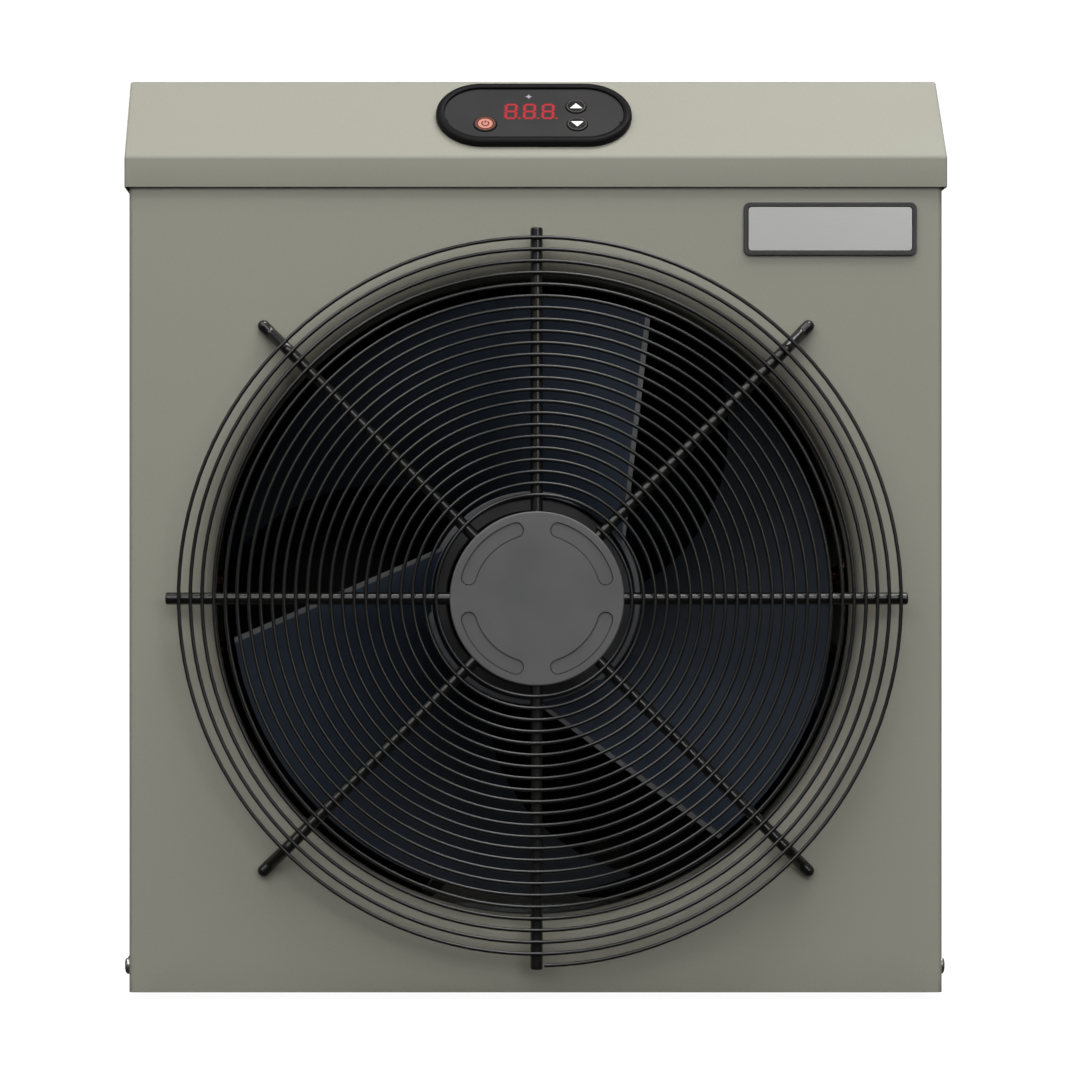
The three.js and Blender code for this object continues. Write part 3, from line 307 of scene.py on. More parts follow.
def new_object(name, shape, look, outward=True):
    points, faces = shape
    mesh = bpy.data.meshes.new(name)
    mesh.from_pydata([tuple(p * MM) for p in points], [], faces)
    if outward:
        edit_mesh(mesh, face_outwards)
    mesh.materials.append(look)
    shade(mesh)
    thing = bpy.data.objects.new(name, mesh)
    bpy.context.scene.collection.objects.link(thing)
    return thing


def apply_modifiers(thing):
    bpy.context.view_layer.update()
    graph = bpy.context.evaluated_depsgraph_get()
    mesh = bpy.data.meshes.new_from_object(thing.evaluated_get(graph))
    thing.modifiers.clear()
    thing.data = mesh


def carve_with(thing, *cutters):
    """Cuts other objects out of an object, and removes them."""
    for cutter in cutters:
        modifier = thing.modifiers.new("carve", "BOOLEAN")
        modifier.object = cutter
        modifier.operation = "DIFFERENCE"
        modifier.solver = "EXACT"
    apply_modifiers(thing)
    for cutter in cutters:
        bpy.data.objects.remove(cutter)
    shade(thing.data)


def carve(thing, *shapes):
    """Cuts shapes out of an object."""
    carve_with(thing, *[new_object("cutter", shape, thing.data.materials[0]) for shape in shapes])


def flatten_faces(thing, keep_sharp=True):
    """Lets the large faces set the shading, so that flats look flat."""
    thing.modifiers.new("flat faces", "WEIGHTED_NORMAL").keep_sharp = keep_sharp


def round_edges(thing, width, segments=3, degrees=35):
    """Rolls every edge sharper than the angle, and keeps the flats flat."""
    bevel = thing.modifiers.new("rounded edges", "BEVEL")
    bevel.width = width * MM
    bevel.segments = segments
    bevel.limit_method = "ANGLE"
    bevel.angle_limit = math.radians(degrees)
    bevel.use_clamp_overlap = True
    thing.data.polygons.foreach_set("use_smooth", [True] * len(thing.data.polygons))
    flatten_faces(thing, keep_sharp=False)


def thicken(thing):
    """Gives a skin the thickness of the cabinet's sheets, inwards."""
    wall = thing.modifiers.new("wall", "SOLIDIFY")
    wall.thickness = SHEET * MM
    wall.offset = -1.0
    wall.use_even_offset = True


def ridden(thing, node=None, body="cabinet"):
    """Puts an object on the body that it rides on, and hides the CAD node that it stands for."""
    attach(thing, body)
    if node:
        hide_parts(node)


def piece(name, shape, slot, node=None, body="cabinet", look=None, cuts=(), outward=True,
          edge=0.0, segments=3, degrees=35):
    """A finished piece: its mesh, what is cut out of it, its rounded edges, its finish, body and CAD node."""
    thing = new_object(name, shape, LOOKS[look or slot], outward)
    if cuts:
        carve(thing, *cuts)
    if edge:
        round_edges(thing, edge, segments, degrees)
    ridden(thing, node, body)


# ---------------- finishes
class Nodes:
    """The node tree of a material or a world, and short ways to add to it."""

    def __init__(self, owner):
        owner.use_nodes = True
        self.tree = owner.node_tree

    def node(self, kind, inputs=(), **settings):
        made = self.tree.nodes.new(kind)
        for setting, value in settings.items():
            setattr(made, setting, value)
        for socket, value in dict(inputs).items():
            self.feed(made.inputs[socket], value)
        return made

    def feed(self, socket, value):
        """Links another node's output to a socket, or sets the socket's own value."""
        if isinstance(value, bpy.types.NodeSocket):
            self.tree.links.new(value, socket)
        else:
            socket.default_value = value

    def spread(self, value, low, high, start=0.3, end=0.7):
        """A value from start to end, spread over low to high."""
        inputs = {"Value": value, "From Min": start, "From Max": end, "To Min": low, "To Max": high}
        return self.node("ShaderNodeMapRange", inputs).outputs[0]


class Finish(Nodes):
    """A node material on a Principled shader, with its patterns in the object's own coordinates."""

    def __init__(self, name, metallic=0.0, roughness=0.5, specular=0.5, coat=0.0):
        self.look = bpy.data.materials.new(name)
        super().__init__(self.look)
        self.shader = self.tree.nodes["Principled BSDF"]
        self.set("Metallic", metallic)
        self.set("Roughness", roughness)
        self.set("Specular IOR Level", specular)
        self.set("Coat Weight", coat)
        self.set("Coat Roughness", 0.1)
        self.coordinates = self.node("ShaderNodeTexCoord").outputs["Object"]

    def set(self, socket, value):
        """Feeds a socket of the shader."""
        self.feed(self.shader.inputs[socket], value)

    def stretched(self, x, y, z):
        """The coordinates drawn out, so that a pattern runs along an axis."""
        return self.node("ShaderNodeMapping", {"Vector": self.coordinates, "Scale": (x, y, z)}).outputs[0]

    def noise(self, size, detail=2.0, vector=None):
        """Noise whose features are about size millimetres across."""
        inputs = {"Vector": vector or self.coordinates, "Scale": 1000 / size, "Detail": detail}
        return self.node("ShaderNodeTexNoise", inputs).outputs["Fac"]

    def cells(self, size):
        """A value for each of the crystals of a surface, about size millimetres across."""
        made = self.node("ShaderNodeTexVoronoi", {"Vector": self.coordinates, "Scale": 1000 / size})
        return self.node("ShaderNodeSeparateColor", {"Color": made.outputs["Color"]}).outputs[0]

    def mixed(self, factor, first, second):
        made = self.node("ShaderNodeMix", {"Factor": factor}, data_type="RGBA")
        for name, colour in (("A", first), ("B", second)):
            entry = next(i for i in made.inputs if i.name == name and i.type == "RGBA")
            self.feed(entry, colour if isinstance(colour, bpy.types.NodeSocket) else (*colour, 1))
        return next(o for o in made.outputs if o.type == "RGBA")

    def colour(self, value):
        self.set("Base Color", value)

    def gloss(self, value):
        self.set("Roughness", value)

    def relief(self, height, depth):
        """Bumps of the given depth in millimetres. This ends a finish, so it gives the material."""
        bump = self.node("ShaderNodeBump", {"Height": height, "Distance": depth * MM, "Strength": 1.0})
        self.set("Normal", bump.outputs[0])
        return self.look


def toned(colour, factor):
    return tuple(min(channel * factor, 1) for channel in colour)


def powder_coat(name, colour):
    """Textured powder coat: orange peel, fine specks and a slow drift of tone."""
    made = Finish(name, roughness=0.5, specular=0.35)
    drift = made.mixed(made.spread(made.noise(230, 2), 0, 1), toned(colour, 0.985), toned(colour, 1.015))
    specks = made.spread(made.noise(0.55, 1), 0, 1, 0.55, 0.75)
    made.colour(made.mixed(specks, drift, toned(colour, 1.09)))
    made.gloss(made.spread(made.noise(30, 2), 0.5, 0.54))
    return made.relief(made.noise(1.3, 3), 0.03)


def moulded(name, colour, roughness, grain=0.9, depth=0.02, specular=0.5, metallic=0.0):
    """Moulded or lacquered surface: eroded grain, a slight drift of tone and gloss."""
    made = Finish(name, metallic=metallic, specular=specular)
    made.colour(made.mixed(made.spread(made.noise(35, 3), 0, 1), toned(colour, 0.88), toned(colour, 1.12)))
    made.gloss(made.spread(made.noise(9, 4), roughness * 0.88, roughness * 1.15))
    return made.relief(made.noise(grain, 2), depth)


def fan_plastic(name, near, far):
    """Blade plastic, painted darker from the front edge towards the rear: painted shade for the blades'
    deeper parts in the duct.
    """
    made = Finish(name, specular=0.12)
    depth = made.node("ShaderNodeSeparateXYZ", {"Vector": made.coordinates}).outputs["Y"]
    low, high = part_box("fan_impeller")
    # Painted shade: the front colour darkens to the rear colour with depth behind the mouth.
    painted_depth_shade = made.mixed(made.spread(depth, 0, 1, low.y, high.y - 0.25 * (high.y - low.y)), near, far)
    drift = made.spread(made.noise(35, 3), 0, 0.12)
    made.colour(made.mixed(drift, painted_depth_shade, far))
    made.gloss(made.spread(made.noise(9, 4), 0.5, 0.6))
    return made.relief(made.noise(1.2, 2), 0.02)


def brushed(name, colour, roughness, along=(1, 30, 30), contrast=0.12, depth=0.012):
    """Metal with fine lines drawn along one axis."""
    made = Finish(name, metallic=1.0)
    lines = made.noise(22, 4, made.stretched(*along))
    dark, light = toned(colour, 1 - contrast), toned(colour, 1 + contrast)
    made.colour(made.mixed(made.spread(lines, 0, 1), dark, light))
    made.gloss(made.spread(lines, roughness * 0.8, roughness * 1.3))
    return made.relief(lines, depth)


def spangled(name, colour):
    """Hot-dip galvanised sheet: crystals of differing tone and gloss."""
    made = Finish(name, metallic=0.85)
    crystals = made.cells(6)
    made.colour(made.mixed(crystals, toned(colour, 0.78), toned(colour, 1.12)))
    made.gloss(made.spread(crystals, 0.32, 0.55, 0, 1))
    return made.relief(made.noise(2.2, 3), 0.01)


def tarnished(name, colour, dull, roughness):
    """Metal gone dull in patches."""
    made = Finish(name, metallic=1.0)
    patches = made.spread(made.noise(16, 5), 0, 1, 0.42, 0.66)
    made.colour(made.mixed(patches, colour, dull))
    made.gloss(made.spread(patches, roughness, roughness * 1.8, 0, 1))
    return made.relief(made.noise(1.1, 3), 0.012)


def circuit(name):
    """Solder mask over copper traces."""
    made = Finish(name, roughness=0.35, coat=0.3)
    wide = made.stretched(1, 0.6, 1)
    brick = made.node(
        "ShaderNodeTexBrick",
        {"Vector": wide, "Scale": 110, "Mortar Size": 0.05, "Color1": (0.008, 0.075, 0.03, 1),
         "Color2": (0.012, 0.1, 0.04, 1), "Mortar": (0.03, 0.2, 0.08, 1)},
    )
    made.colour(made.mixed(made.noise(8, 3), brick.outputs["Color"], (0.01, 0.08, 0.035)))
    return made.relief(brick.outputs["Fac"], 0.03)


def lit(name, colour, strength, base):
    """A lit legend: it glows a little unevenly through its diffuser."""
    made = Finish(name, roughness=0.45, specular=0.05)
    made.colour(made.mixed(made.noise(1.5, 2), base, toned(base, 1.5)))
    glow = made.spread(made.noise(1.2, 2), 0, 1)
    made.set("Emission Color", made.mixed(glow, toned(colour, 0.85), toned(colour, 1.1)))
    made.set("Emission Strength", strength)
    return made.look


# Colour, roughness, grain's size and depth, specular level and metallic share of each moulded() finish.
MOULDED = {
    "guard_wire": ((0.007, 0.007, 0.0065), 0.2, 1.6, 0.008),
    "disc_plate": ((0.104, 0.104, 0.104), 0.5, 0.8, 0.02, 0.3),
    "motor": ((0.02, 0.02, 0.021), 0.45, 1.4, 0.03),
    "black_plastic": ((0.014, 0.014, 0.015), 0.45),
    "gloss_plastic": ((0.008, 0.008, 0.008), 0.45, 2.0, 0.006, 0.06),
    "button": ((0.018, 0.0175, 0.017), 0.5, 0.6, 0.01, 0.05),
    "display": ((0.035, 0.0345, 0.0345), 0.45, 1.0, 0.006, 0.05),
    "rubber": ((0.018, 0.018, 0.018), 0.8, 0.7, 0.04),
    "fins": ((0.03, 0.06, 0.1), 0.4, 5.0, 0.02, 0.5, 0.3),
    "water_plastic": ((0.03, 0.031, 0.033), 0.4),
    # Near-black finishes that paint shade on the pipes and parts inside the cabinet.
    "painted_shade_pipe_black": ((0.008, 0.008, 0.008), 0.9, 0.8, 0.05, 0.08),
    "painted_shade_part_black": ((0.008, 0.008, 0.009), 0.8, 2.0, 0.02, 0.08),
    "control_face": ((0.035, 0.035, 0.035), 0.45, 1.0, 0.01, 0.05),
    # Pale grey for the hub's rim and the blades' straight edges: a painted highlight.
    "painted_edge_highlight": ((0.1, 0.1, 0.105), 0.45, 1.2, 0.02),
}
# Colour and strength of the glow of each lit() finish, and its colour unlit.
LIT = {
    "white_legend": ((0.9, 0.9, 0.88), 0.3, (0.5, 0.5, 0.49)),
    "dim_legend": ((0.3, 0.3, 0.31), 0.6, (0.2, 0.2, 0.21)),
    "ring_legend": ((0.1, 0.09, 0.08), 0.2, (0.07, 0.065, 0.055)),
    "lit_segment": ((0.5, 0.035, 0.045), 1.0, (0.02, 0.005, 0.005)),
    "display_glow": ((0.12, 0.02, 0.024), 1.0, (0.02, 0.01, 0.01)),
    "power_halo": ((0.2, 0.06, 0.04), 0.7, (0.05, 0.02, 0.015)),
    "power_light": ((0.8, 0.33, 0.24), 0.75, (0.1, 0.05, 0.04)),
    "power_glyph": ((0.16, 0.045, 0.035), 0.4, (0.03, 0.01, 0.01)),
}
PAINT = (0.285, 0.28, 0.232)
LOOKS = {
    "paint": powder_coat("paint", PAINT),
    "lid_paint": powder_coat("lid_paint", PAINT),
    # The blade's pale front colour and dark rear colour carry painted shade.
    "blade": fan_plastic("blade", (0.023, 0.031, 0.047), (0.008, 0.010, 0.014)),
    "galvanised": spangled("galvanised", (0.42, 0.43, 0.44)),
    "steel": brushed("steel", (0.55, 0.55, 0.54), 0.28),
    "zinc": tarnished("zinc", (0.5, 0.5, 0.5), (0.3, 0.31, 0.32), 0.3),
    "copper": tarnished("copper", (0.62, 0.26, 0.13), (0.27, 0.12, 0.075), 0.24),
    "board": circuit("board"),
    "plaque": brushed("plaque", (0.36, 0.36, 0.355), 0.4, (1.5, 90, 90), 0.05, 0.004),
}
LOOKS.update({name: moulded(name, *values) for name, values in MOULDED.items()})
LOOKS.update({name: lit(name, *values) for name, values in LIT.items()})


# ---------------- camera, light and floor
def camera():
    """A long lens in front of the unit, a little left of its middle and level with the fan."""
    data = bpy.data.cameras.new("camera")
    data.sensor_width = 36
    data.lens = 122
    data.shift_x = 0.1207
    data.shift_y = 0.0371
    data.clip_start = 0.05
    thing = bpy.data.objects.new("camera", data)
    thing.location = (-0.062, FRONT * MM - 1.8, 0.2068)
    thing.rotation_euler = (math.pi / 2, 0, 0)
    bpy.context.scene.collection.objects.link(thing)
    bpy.context.scene.camera = thing


def area_light(name, place, size, power):
    data = bpy.data.lights.new(name, "AREA")
    data.shape = "RECTANGLE"
    data.size, data.size_y = size
    data.energy = power
    thing = bpy.data.objects.new(name, data)
    thing.location = place
    target = Vector((0, -0.15, 0.25))
    thing.rotation_euler = (target - Vector(place)).to_track_quat("-Z", "Y").to_euler()
    bpy.context.scene.collection.objects.link(thing)


def lights():
    """A soft box overhead, dim ones to the left and behind, and a wide fill and a small key in front."""
    area_light("overhead", (0.7, -0.75, 3.0), (2.2, 1.2), 70)
    area_light("side", (-1.6, -1.3, 2.9), (1.4, 1.4), 25)
    area_light("fill", (-0.4, -2.9, 1.75), (4.0, 1.6), 49)
    area_light("key", (0.85, -2.15, 0.55), (0.5, 0.5), 3.3)
    area_light("rear_left", (-1.6, 2.4, 1.7), (1.4, 1.4), 30)
    area_light("rear_right", (1.6, 2.4, 1.7), (1.4, 1.4), 30)


def world():
    """A white surround for the camera. As a source of light it is dim, and dimmest behind and below."""
    made = bpy.data.worlds.new("studio")
    nodes = Nodes(made)
    coordinates = nodes.node("ShaderNodeTexCoord").outputs["Generated"]
    direction = nodes.node("ShaderNodeSeparateXYZ", {"Vector": coordinates}).outputs
    front = nodes.spread(direction["Y"], 0.4, 0.08, -0.9, 0.3)
    dim = nodes.spread(direction["Z"], 0.04, front, -0.15, 0.2)
    seen = nodes.node("ShaderNodeLightPath").outputs["Is Camera Ray"]
    background = nodes.tree.nodes["Background"].inputs
    nodes.feed(background["Strength"], nodes.spread(seen, dim, 1.05, 0, 1))
    nodes.feed(background["Color"], (1, 1, 1, 1))
    bpy.context.scene.world = made
    bpy.context.scene.view_settings.view_transform = "Standard"


def floor():
    """A pale floor that glows a little, so that it stays white as far as the horizon."""
    made = Finish("floor", roughness=0.9, specular=0.1)
    made.colour(made.mixed(made.noise(60, 4), (0.145, 0.145, 0.145), (0.155, 0.155, 0.155)))
    made.set("Emission Color", (1, 1, 1, 1))
    made.set("Emission Strength", 0.96)
    half, depth = 3000, 20
    ground = new_object("floor", block((-half, -half, -depth), (half, half, 0)), made.look)
    ground.visible_diffuse = False
    ground.visible_glossy = False


# ---------------- cabinet
BEND = 2.5
RETURN_Y = FRONT + 30
LIP_RADIUS = 174
THROAT_RADIUS = 159.5
ROLL_DEPTH = 12
MOUTH_DEPTH = PANEL_HIGH.y - FRONT


def front_panel():
    """One sheet: folded returns at the sides, and a rolled mouth round the fan."""
    low, high = PANEL_LOW.z, PANEL_HIGH.z
    flat = HALF_WIDTH - BEND
    steps = 56
    xs = [flat * (2 * i / steps - 1) for i in range(steps)]
    zs = [low + (high - low) * i / steps for i in range(steps)]
    border = [(x, low) for x in xs] + [(flat, z) for z in zs]
    border += [(-x, high) for x in xs] + [(-flat, low + high - z) for z in zs]
    rays = [Vector((x, z - FAN_Z)).normalized() for x, z in border]

    def ring(radius, depth):
        return [Vector((ray.x * radius, FRONT + depth, FAN_Z + ray.y * radius)) for ray in rays]

    edge = [Vector((x, FRONT, z)) for x, z in border]
    support = ring(LIP_RADIUS + 1.2, 0)
    rings = [edge]
    for share in (0.35, 0.7, 0.9, 1):
        rings.append([a.lerp(b, share) for a, b in zip(edge, support)])
    for s, c in quarter_turn(14):
        rings.append(ring(LIP_RADIUS - (LIP_RADIUS - THROAT_RADIUS) * s, ROLL_DEPTH * (1 - c)))
    rings.append(ring(THROAT_RADIUS, MOUTH_DEPTH))
    points = [point for row in rings for point in row]
    faces = skin(len(rings), len(border))

    heights = zs + [high]
    count = len(heights)
    for sx in (-1, 1):
        profile = [(sx * (flat + BEND * s), FRONT + BEND * (1 - c)) for s, c in quarter_turn(6)]
        profile.append((sx * HALF_WIDTH, RETURN_Y))
        first = len(points)
        points += [Vector((x, y, z)) for x, y in profile for z in heights]
        for row in range(first, len(points) - count, count):
            quads = quads_between(row, row + count, count, closed=False)
            faces += quads if sx < 0 else [quad[::-1] for quad in quads]

    panel = new_object("front_panel_sheet", (points, faces), LOOKS["paint"], outward=False)
    edit_mesh(
        panel.data, lambda form: bmesh.ops.remove_doubles(form, verts=form.verts, dist=1e-5), face_outwards
    )
    face = max(panel.data.polygons, key=lambda polygon: polygon.area)
    if face.normal.y > 0:
        panel.data.flip_normals()
    shade(panel.data, 50)
    thicken(panel)
    flatten_faces(panel)
    ridden(panel, "front_panel")


LOUVRE_LENGTH = 70
LOUVRE_HEIGHT = 3.4
LOUVRE_Y = 33.5
LOUVRE_FEET = [150 + 14 * i for i in range(8)]
REAR_LAP = 14


def side_panel(name, sx):
    """A folded side sheet with a row of pressed louvres."""
    low, high = box_mm("side_panel_" + name)
    front = RETURN_Y + 0.3
    slot_start, slot_end = LOUVRE_Y - LOUVRE_LENGTH / 2, LOUVRE_Y + LOUVRE_LENGTH / 2
    rows = [low.z]
    for foot in LOUVRE_FEET:
        rows += [foot, foot + LOUVRE_HEIGHT]
    rows.append(high.z)
    inner_x = HALF_WIDTH - SHEET - 0.3
    outline = [(inner_x, front - 12), (inner_x, front - 0.4)]
    outline += [(HALF_WIDTH, y) for y in (front, front + 6, slot_start, slot_end, REAR - BEND)]
    outline += [(HALF_WIDTH - BEND * (1 - c), REAR - BEND + BEND * s) for s, c in quarter_turn(6)[1:]]
    outline.append((HALF_WIDTH - REAR_LAP, REAR))
    points = [Vector((sx * x, y, z)) for z in rows for x, y in outline]
    faces = []
    slot_column = outline.index((HALF_WIDTH, slot_start))
    for row in range(len(rows) - 1):
        for column in range(len(outline) - 1):
            if column == slot_column and row % 2:
                continue
            a = row * len(outline) + column
            b = a + len(outline)
            faces.append((a, a + 1, b + 1, b) if sx > 0 else (b, b + 1, a + 1, a))
    panel = new_object("side_sheet_" + name, (points, faces), LOOKS["paint"], outward=False)
    thicken(panel)
    apply_modifiers(panel)
    shade(panel.data)
    flatten_faces(panel)
    ridden(panel, "side_panel_" + name)
    piece("louvre_hoods_" + name, louvre_hoods(sx), "paint", outward=False)


def louvre_hoods(sx):
    """Hoods that stand over the slots and open downwards."""
    proud = 2.7
    across, around = 28, 8
    rows = around + 1
    total = rows * (across + 1)
    shapes = []
    for foot in LOUVRE_FEET:
        top = foot + LOUVRE_HEIGHT + 3
        points, faces = [], []
        for wall in (0, SHEET * 0.7):
            for k in range(across + 1):
                t = 2 * k / across - 1
                swell = max(1 - abs(t) ** 8, 0) ** 0.5
                y = LOUVRE_Y + t * (LOUVRE_LENGTH / 2 + 2)
                for s, c in quarter_turn(around):
                    x = HALF_WIDTH + (proud * swell - wall) * s - 0.2
                    points.append(Vector((sx * x, y, top - wall - (top - foot) * (1 - c))))
        for k in range(across):
            for j in range(around):
                a = k * rows + j
                quad = (a, a + 1, a + 1 + rows, a + rows)
                back = tuple(index + total for index in quad)
                faces += [quad, back[::-1]] if sx > 0 else [quad[::-1], back]
            lip = k * rows + around
            faces.append((lip, lip + total, lip + total + rows, lip + rows))
        shapes.append((points, faces))
    return join_shapes(*shapes)


def lid():
    """A folded cover: fascia, slope, top and skirt, with a hole for the controls."""
    foot, top = LID_LOW.z, LID_HIGH.z
    outline = [(LID_LOW.y, foot), (LID_LOW.y, SLOPE_FOOT_Z), (LID_LOW.y + SLOPE_RUN, top)]
    outline += [(LID_HIGH.y, top), (LID_HIGH.y, foot)]
    shape = plate(outline, LID_LOW.x, LID_HIGH.x, lambda y, z, x: Vector((x, y, z)))
    cover = new_object("lid_cover", shape, LOOKS["lid_paint"])

    def open_foot(form):
        under = [f for f in form.faces if all(v.co.z < (foot + 0.1) * MM for v in f.verts)]
        bmesh.ops.delete(form, geom=under, context="FACES")

    def bend_folds(form):
        folds = [e for e in form.edges if not e.is_boundary]
        bmesh.ops.bevel(
            form, geom=folds, offset=1.3 * MM, segments=5, profile=0.5, affect="EDGES", clamp_overlap=True
        )

    edit_mesh(cover.data, open_foot, bend_folds)
    thicken(cover)
    apply_modifiers(cover)
    carve(cover, plate(stadium(BEZEL_LENGTH - 6, BEZEL_WIDTH - 6), -8, 8, slope_place))
    flatten_faces(cover, keep_sharp=False)
    ridden(cover, "top_cover")


def plaque():
    """A plain satin plate in a black border."""
    low, high = box_mm("badge_plate")
    x, _, z = middle_mm("badge_plate")
    proud = FRONT - low.y
    sunk = proud - 0.5
    inset = lambda d, radius: rounded_rectangle(high.x - low.x - d, high.z - low.z - d, radius, x, z)
    levels = [(inset(0, 3), 0.3), (inset(0, 3), proud), (inset(4, 1.8), proud), (inset(4, 1.8), sunk)]
    piece("plaque_border", stack(levels, front_place), "black_plastic", "badge_plate", edge=0.3)
    field = plate(inset(4.6, 1.6), sunk + 0.02, proud - 0.15, front_place)
    piece("plaque_field", field, "plaque", edge=0.12)


# ---------------- screws
def cross_screw(name, place, radius, height, slot="steel", node=None):
    """A pan-head screw with a cross recess, whose head stands at w = 0 of its place."""
    levels = [(0.98, 0.0), (1.0, 0.25), (1.0, 0.45), (0.93, 0.72), (0.78, 0.9), (0.5, 1.0)]
    shape = stack([(circle(radius * r, 36), height * h) for r, h in levels], place)
    arm, width = radius * 0.6, radius * 0.18
    cross = []
    for u, v in ((arm, width), (width, arm)):
        cross.append(plate(rounded_rectangle(2 * u, 2 * v, width * 0.5), height * 0.45, height * 2, place))
    piece(name, shape, slot, node, cuts=cross)


def side_screws():
    for name, sx in SIDES:
        node = "side_screw_" + name
        _, y, z = middle_mm(node)
        cross_screw("side_screw_head_" + name, beside(sx, HALF_WIDTH + 0.2, y, z), 4.5, 2.8, node=node)


def rear_screws():
    """Screws that hold the rear panel and the lid's skirt."""
    spots = [(sx * 176, z) for sx in (-1, 1) for z in (24, 120, 232, 344)]
    spots += [(x, 393) for x in (-110, 0, 110)]
    surface = box_mm("rear_panel")[1].y
    for i, (x, z) in enumerate(spots):
        cross_screw(f"rear_screw_{i + 1}", behind(x, surface, z), 3.6, 2.0)
    for name, sx in SIDES:
        for i, y in enumerate((-90, 45)):
            cross_screw(f"lid_screw_{name}_{i + 1}", beside(sx, LID_HIGH.x, y, 407), 3.2, 0.8, slot="zinc")


# ---------------- fan guard
SPIRAL_OUTER = 178.8
SPIRAL_INNER = 45.5
SPIRAL_PITCH = 5.7
SPIRAL_STEPS = 120
SPIRAL_WIRE = 0.95
SPOKE_RADIUS = 3
SPOKE_START = 33
SPOKE_END = 181.2
SPOKE_BEND, SPOKE_LANDING = 173, 184
FOOT_END = 192
HUB_PLATE_RADIUS = 36


def guard_spiral():
    """One wire wound inwards from the foot of the guard."""
    y = middle_mm("guard_spiral")[1]
    turns = (SPIRAL_OUTER - SPIRAL_INNER) / SPIRAL_PITCH
    steps = round(SPIRAL_STEPS * turns)
    route = []
    for i in range(steps + 1):
        radius = SPIRAL_OUTER - SPIRAL_PITCH * turns * i / steps
        angle = 0.02 - math.pi / 2 + TAU * turns * i / steps
        route.append((radius * math.cos(angle), y, FAN_Z + radius * math.sin(angle)))
    piece("spiral_wire", sweep(route, SPIRAL_WIRE, 12), "guard_wire", "guard_spiral")


def guard_spokes():
    """Eight rods on a round plate; the slanting ones bend back and end on the panel."""
    y = box_mm("guard_spokes")[0].y + SPOKE_RADIUS
    seat = FRONT - 0.3 - SPOKE_RADIUS
    tip = FOOT_END - SPOKE_RADIUS
    shapes = []
    for i in range(8):
        angle = i * TAU / 8
        along = Vector((math.cos(angle), 0, math.sin(angle)))
        place = lambda r, depth: Vector((0, depth, FAN_Z)) + along * r
        if i % 2 == 0:
            shapes.append(sweep([place(SPOKE_START, y), place(SPOKE_END, y)], SPOKE_RADIUS, 24))
            continue
        bends = [place(SPOKE_START, y), place(SPOKE_BEND, y), place(SPOKE_LANDING, seat), place(tip, seat)]
        route = rounded_route(bends, 6, 6)
        radii = [SPOKE_RADIUS] * len(route)
        for step in range(1, 8):
            turn = math.radians(12 * step)
            route.append(place(tip + SPOKE_RADIUS * math.sin(turn), seat))
            radii.append(SPOKE_RADIUS * math.cos(turn))
        shapes.append(sweep(route, SPOKE_RADIUS, 24, radii=radii))
    piece("spoke_rods", join_shapes(*shapes), "guard_wire", "guard_spokes", edge=0.9, segments=4, degrees=60)
    hub_plate = plate(circle(HUB_PLATE_RADIUS, 96), FRONT - y - 1.5, FRONT - y + 1.5, fan_place)
    piece("spoke_hub_plate", hub_plate, "guard_wire", edge=0.4)


def guard_disc():
    """The pressed plate at the guard's centre, with four shallow kidney recesses."""
    low, high = box_mm("guard_centre_disc")
    radius = (high.x - low.x) / 2
    face, back = FRONT - low.y, FRONT - high.y
    roll = 0.9
    levels = [(circle(radius, 128), back), (circle(radius, 128), face - roll)]
    for s, c in quarter_turn(4)[1:]:
        levels.append((circle(radius - roll * (1 - c), 128), face - roll + roll * s))
    disc = new_object("guard_disc_plate", stack(levels, fan_place), LOOKS["disc_plate"])
    for i in range(4):
        slot = lambda grow, depth: plate(
            kidney(34.8, 7.2 + 2 * grow, 90 * i + 17, 90 * i + 73), face - depth, face + 2, fan_place
        )
        carve(disc, slot(0.25, 0.7))
        groove = new_object("groove", slot(0.25, 1.4), LOOKS["disc_plate"])
        carve(groove, slot(-0.3, 3))
        carve_with(disc, groove)
    flatten_faces(disc)
    ridden(disc, "guard_centre_disc")


# ---------------- fan
TIP_RADIUS = 150.5
ROOT_RADIUS = 51.5
HUB_RADIUS = 53.5
HUB_FRONT = -140.5
HUB_SIDES = 120
EDGE_ROOT = Vector((45.2, 29.1))
EDGE_TIP = Vector((57.8, 140.3))
EDGE_STRIP = 2.7


def straight_edge_angle(radius):
    """The angle at which the straight edge of the first blade crosses a radius."""
    along = (EDGE_TIP - EDGE_ROOT).normalized()
    nearest = EDGE_ROOT - along * EDGE_ROOT.dot(along)
    point = nearest + along * math.sqrt(max(radius**2 - nearest.length_squared, 0))
    return math.atan2(point.y, point.x)


def swept_edge_angle(radius):
    """The angle at which the curved edge of the first blade crosses a radius."""
    out = radius - 56
    return math.radians(127 + 0.37 * out + 0.0009 * out**2)


def blade(turn, front_y, rear_y):
    """A cambered blade: its points, its faces, and which faces are the strip along the straight edge."""
    stations, chord = 28, 26
    points = []
    for k in range(stations + 1):
        radius = ROOT_RADIUS + (TIP_RADIUS - ROOT_RADIUS) * k / stations
        start = straight_edge_angle(radius)
        edge = start + EDGE_STRIP / radius
        end = swept_edge_angle(radius)
        face = [(start, front_y)]
        for i in range(chord + 1):
            s = i / chord
            face.append((edge + (end - edge) * s, front_y + (rear_y - front_y - 2.4) * s**1.5))
        walls = [1.4] + [1.6 + 1.2 * math.sin(math.pi * i / chord) for i in range(chord + 1)]
        back = [(a, y + wall) for (a, y), wall in zip(face, walls)][::-1]
        for angle, y in face + back:
            at = angle + turn
            points.append(Vector((radius * math.cos(at), y, FAN_Z + radius * math.sin(at))))
    count = 2 * (chord + 2)
    faces = skin(stations + 1, count)
    strips = [k * count for k in range(stations)]
    for row in (0, stations * count):
        for i in range(count // 2 - 1):
            faces.append((row + i, row + i + 1, row + count - 2 - i, row + count - 1 - i))
    return points, faces, strips


